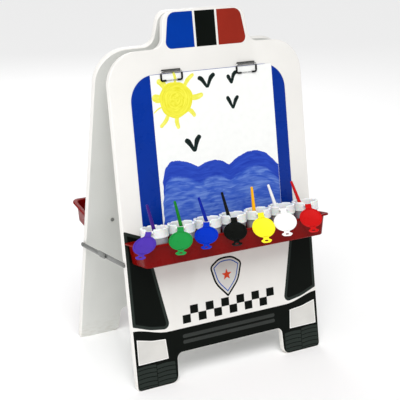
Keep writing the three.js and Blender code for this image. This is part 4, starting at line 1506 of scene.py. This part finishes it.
def add_paint_pool(cup, stand):
    """A little paint on the cup's floor, creeping up the wall."""
    colour = cup["colour"]
    poured = new_material(f"{colour}_poured_paint", cup["paint"], 0.28, Coat_Weight=0.3)
    mottle(poured, cup["paint"], 0.12, 60)
    bump(poured, 50, 0.5, 0.3)
    pool = turned_profile([(0, CUP_WALL + 0.1, 0), (24.5, CUP_WALL + 0.1, 1.5), (25.6, CUP_WALL + 6.4, 0),
                           (24.2, CUP_WALL + 5.2, 1), (0, CUP_WALL + 5, 0)], 56)
    add(f"{colour}_paint_pool", [(pool, poured)], stand, f"{colour}_cup")


def add_lid(cup, stand):
    """The lid hangs open on its pivot, at the cup's own slope or resting on the tray's rim."""
    colour = cup["colour"]
    slope = cup.get("slope") or resting_slope(math.radians(cup["turn"]))
    pivot = stand @ move(0, LID_PIVOT_HEIGHT, LID_PIVOT_OUT) @ turn(90 - slope, "X")
    lid_plastic = moulded_plastic(f"{colour}_lid_plastic", cup["lid"], 0.3, shine=0.09)
    add(f"{colour}_flip_lid", [(lid_shell(), lid_plastic)], pivot, f"{colour}_lid", f"{colour}_cup_lid",
        32)


def add_paint_cup(cup, index, board):
    place = CUP_ROW_SHIFT + (index - (len(CUPS) - 1) / 2) * CUP_PITCH
    stand = board @ move(place, CUP_FLOOR, CUP_OUT) @ turn(-cup["turn"], "Y")
    add_cup_and_collar(cup, stand)
    add_paint_pool(cup, stand)
    add_lid(cup, stand)
    add_brush(cup, stand, index)


# ---------------------------------------------------------------- studio

CAMERA_FROM_FOOT = Vector((-1433.8, -2314.4, 1394.2)) * MM
CAMERA_HEADING = math.radians(29.695)
CAMERA_PITCH = math.radians(18.038)
CAMERA_ROLL = math.radians(0.385)
CAMERA_LENS = 94.22


def add_camera(foot):
    ahead = Vector((math.sin(CAMERA_HEADING) * math.cos(CAMERA_PITCH),
                    math.cos(CAMERA_HEADING) * math.cos(CAMERA_PITCH), -math.sin(CAMERA_PITCH)))
    level = Vector((math.cos(CAMERA_HEADING), -math.sin(CAMERA_HEADING), 0))
    upright = level.cross(ahead)
    right = level * math.cos(CAMERA_ROLL) + upright * math.sin(CAMERA_ROLL)
    up = upright * math.cos(CAMERA_ROLL) - level * math.sin(CAMERA_ROLL)
    data = bpy.data.cameras.new("camera")
    data.lens = CAMERA_LENS
    data.sensor_width = 36
    camera = bpy.data.objects.new("camera", data)
    bpy.context.scene.collection.objects.link(camera)
    camera.matrix_world = axes_frame(right, up, -ahead, foot + CAMERA_FROM_FOOT)
    bpy.context.scene.camera = camera


def add_area_light(name, place, target, size, power):
    data = bpy.data.lights.new(name, "AREA")
    data.shape = "DISK"
    data.size = size
    data.energy = power
    light = bpy.data.objects.new(name, data)
    bpy.context.scene.collection.objects.link(light)
    light.location = place
    light.rotation_euler = (Vector(target) - Vector(place)).to_track_quat("-Z", "Y").to_euler()


def add_sun_light(name, direction, strength, spread):
    """An even light from one direction, its softness in degrees."""
    data = bpy.data.lights.new(name, "SUN")
    data.energy = strength
    data.angle = math.radians(spread)
    light = bpy.data.objects.new(name, data)
    bpy.context.scene.collection.objects.link(light)
    light.rotation_euler = Vector(direction).to_track_quat("Z", "Y").to_euler()


def add_studio():
    floor = bpy.data.meshes.new("floor")
    reach = 12
    floor.from_pydata([(-reach, -reach, 0), (reach, -reach, 0), (reach, reach, 0), (-reach, reach, 0)], [],
                      [(0, 1, 2, 3)])
    floor.materials.append(new_material("studio_floor", (0.97, 0.97, 0.97), 0.9))
    ground = bpy.data.objects.new("floor", floor)
    bpy.context.scene.collection.objects.link(ground)
    world = bpy.data.worlds.new("studio")
    world.use_nodes = True
    world.node_tree.nodes["Background"].inputs["Color"].default_value = (1, 1, 1, 1)
    world.node_tree.nodes["Background"].inputs["Strength"].default_value = 0.43
    bpy.context.scene.world = world
    add_sun_light("sky", (-0.8, -1.4, 2.4), 1.7, 40)
    add_area_light("key", (-1.7, -2.6, 3.2), (0, 0, 0.6), 1.8, 24)
    add_area_light("side", (-3.4, -0.4, 1.6), (0, 0.1, 0.5), 2.0, 22)
    add_area_light("back", (1.0, 3.4, 2.6), (0, 0, 0.5), 2.0, 30)
    bpy.context.scene.view_settings.view_transform = "Standard"


# ---------------------------------------------------------------- the whole easel

def build():
    places = {side: board_frame(side) for side in SIDES}
    add_camera(places["front"].translation)
    add_studio()
    board_parts = (add_board, add_wipe_panel, add_light_bar, add_pillars, add_bumper, add_lamps,
                   add_grille, add_treads, add_badge, add_chequers, add_clips, add_tray)
    for side in SIDES:
        for add_part in board_parts:
            add_part(side, places[side])
    for add_part in (add_paper, add_sun, add_birds, add_waves):
        add_part(places["front"])
    add_hinges(places)
    add_braces()
    for index, cup in enumerate(CUPS):
        add_paint_cup(cup, index, places["front"])


build()
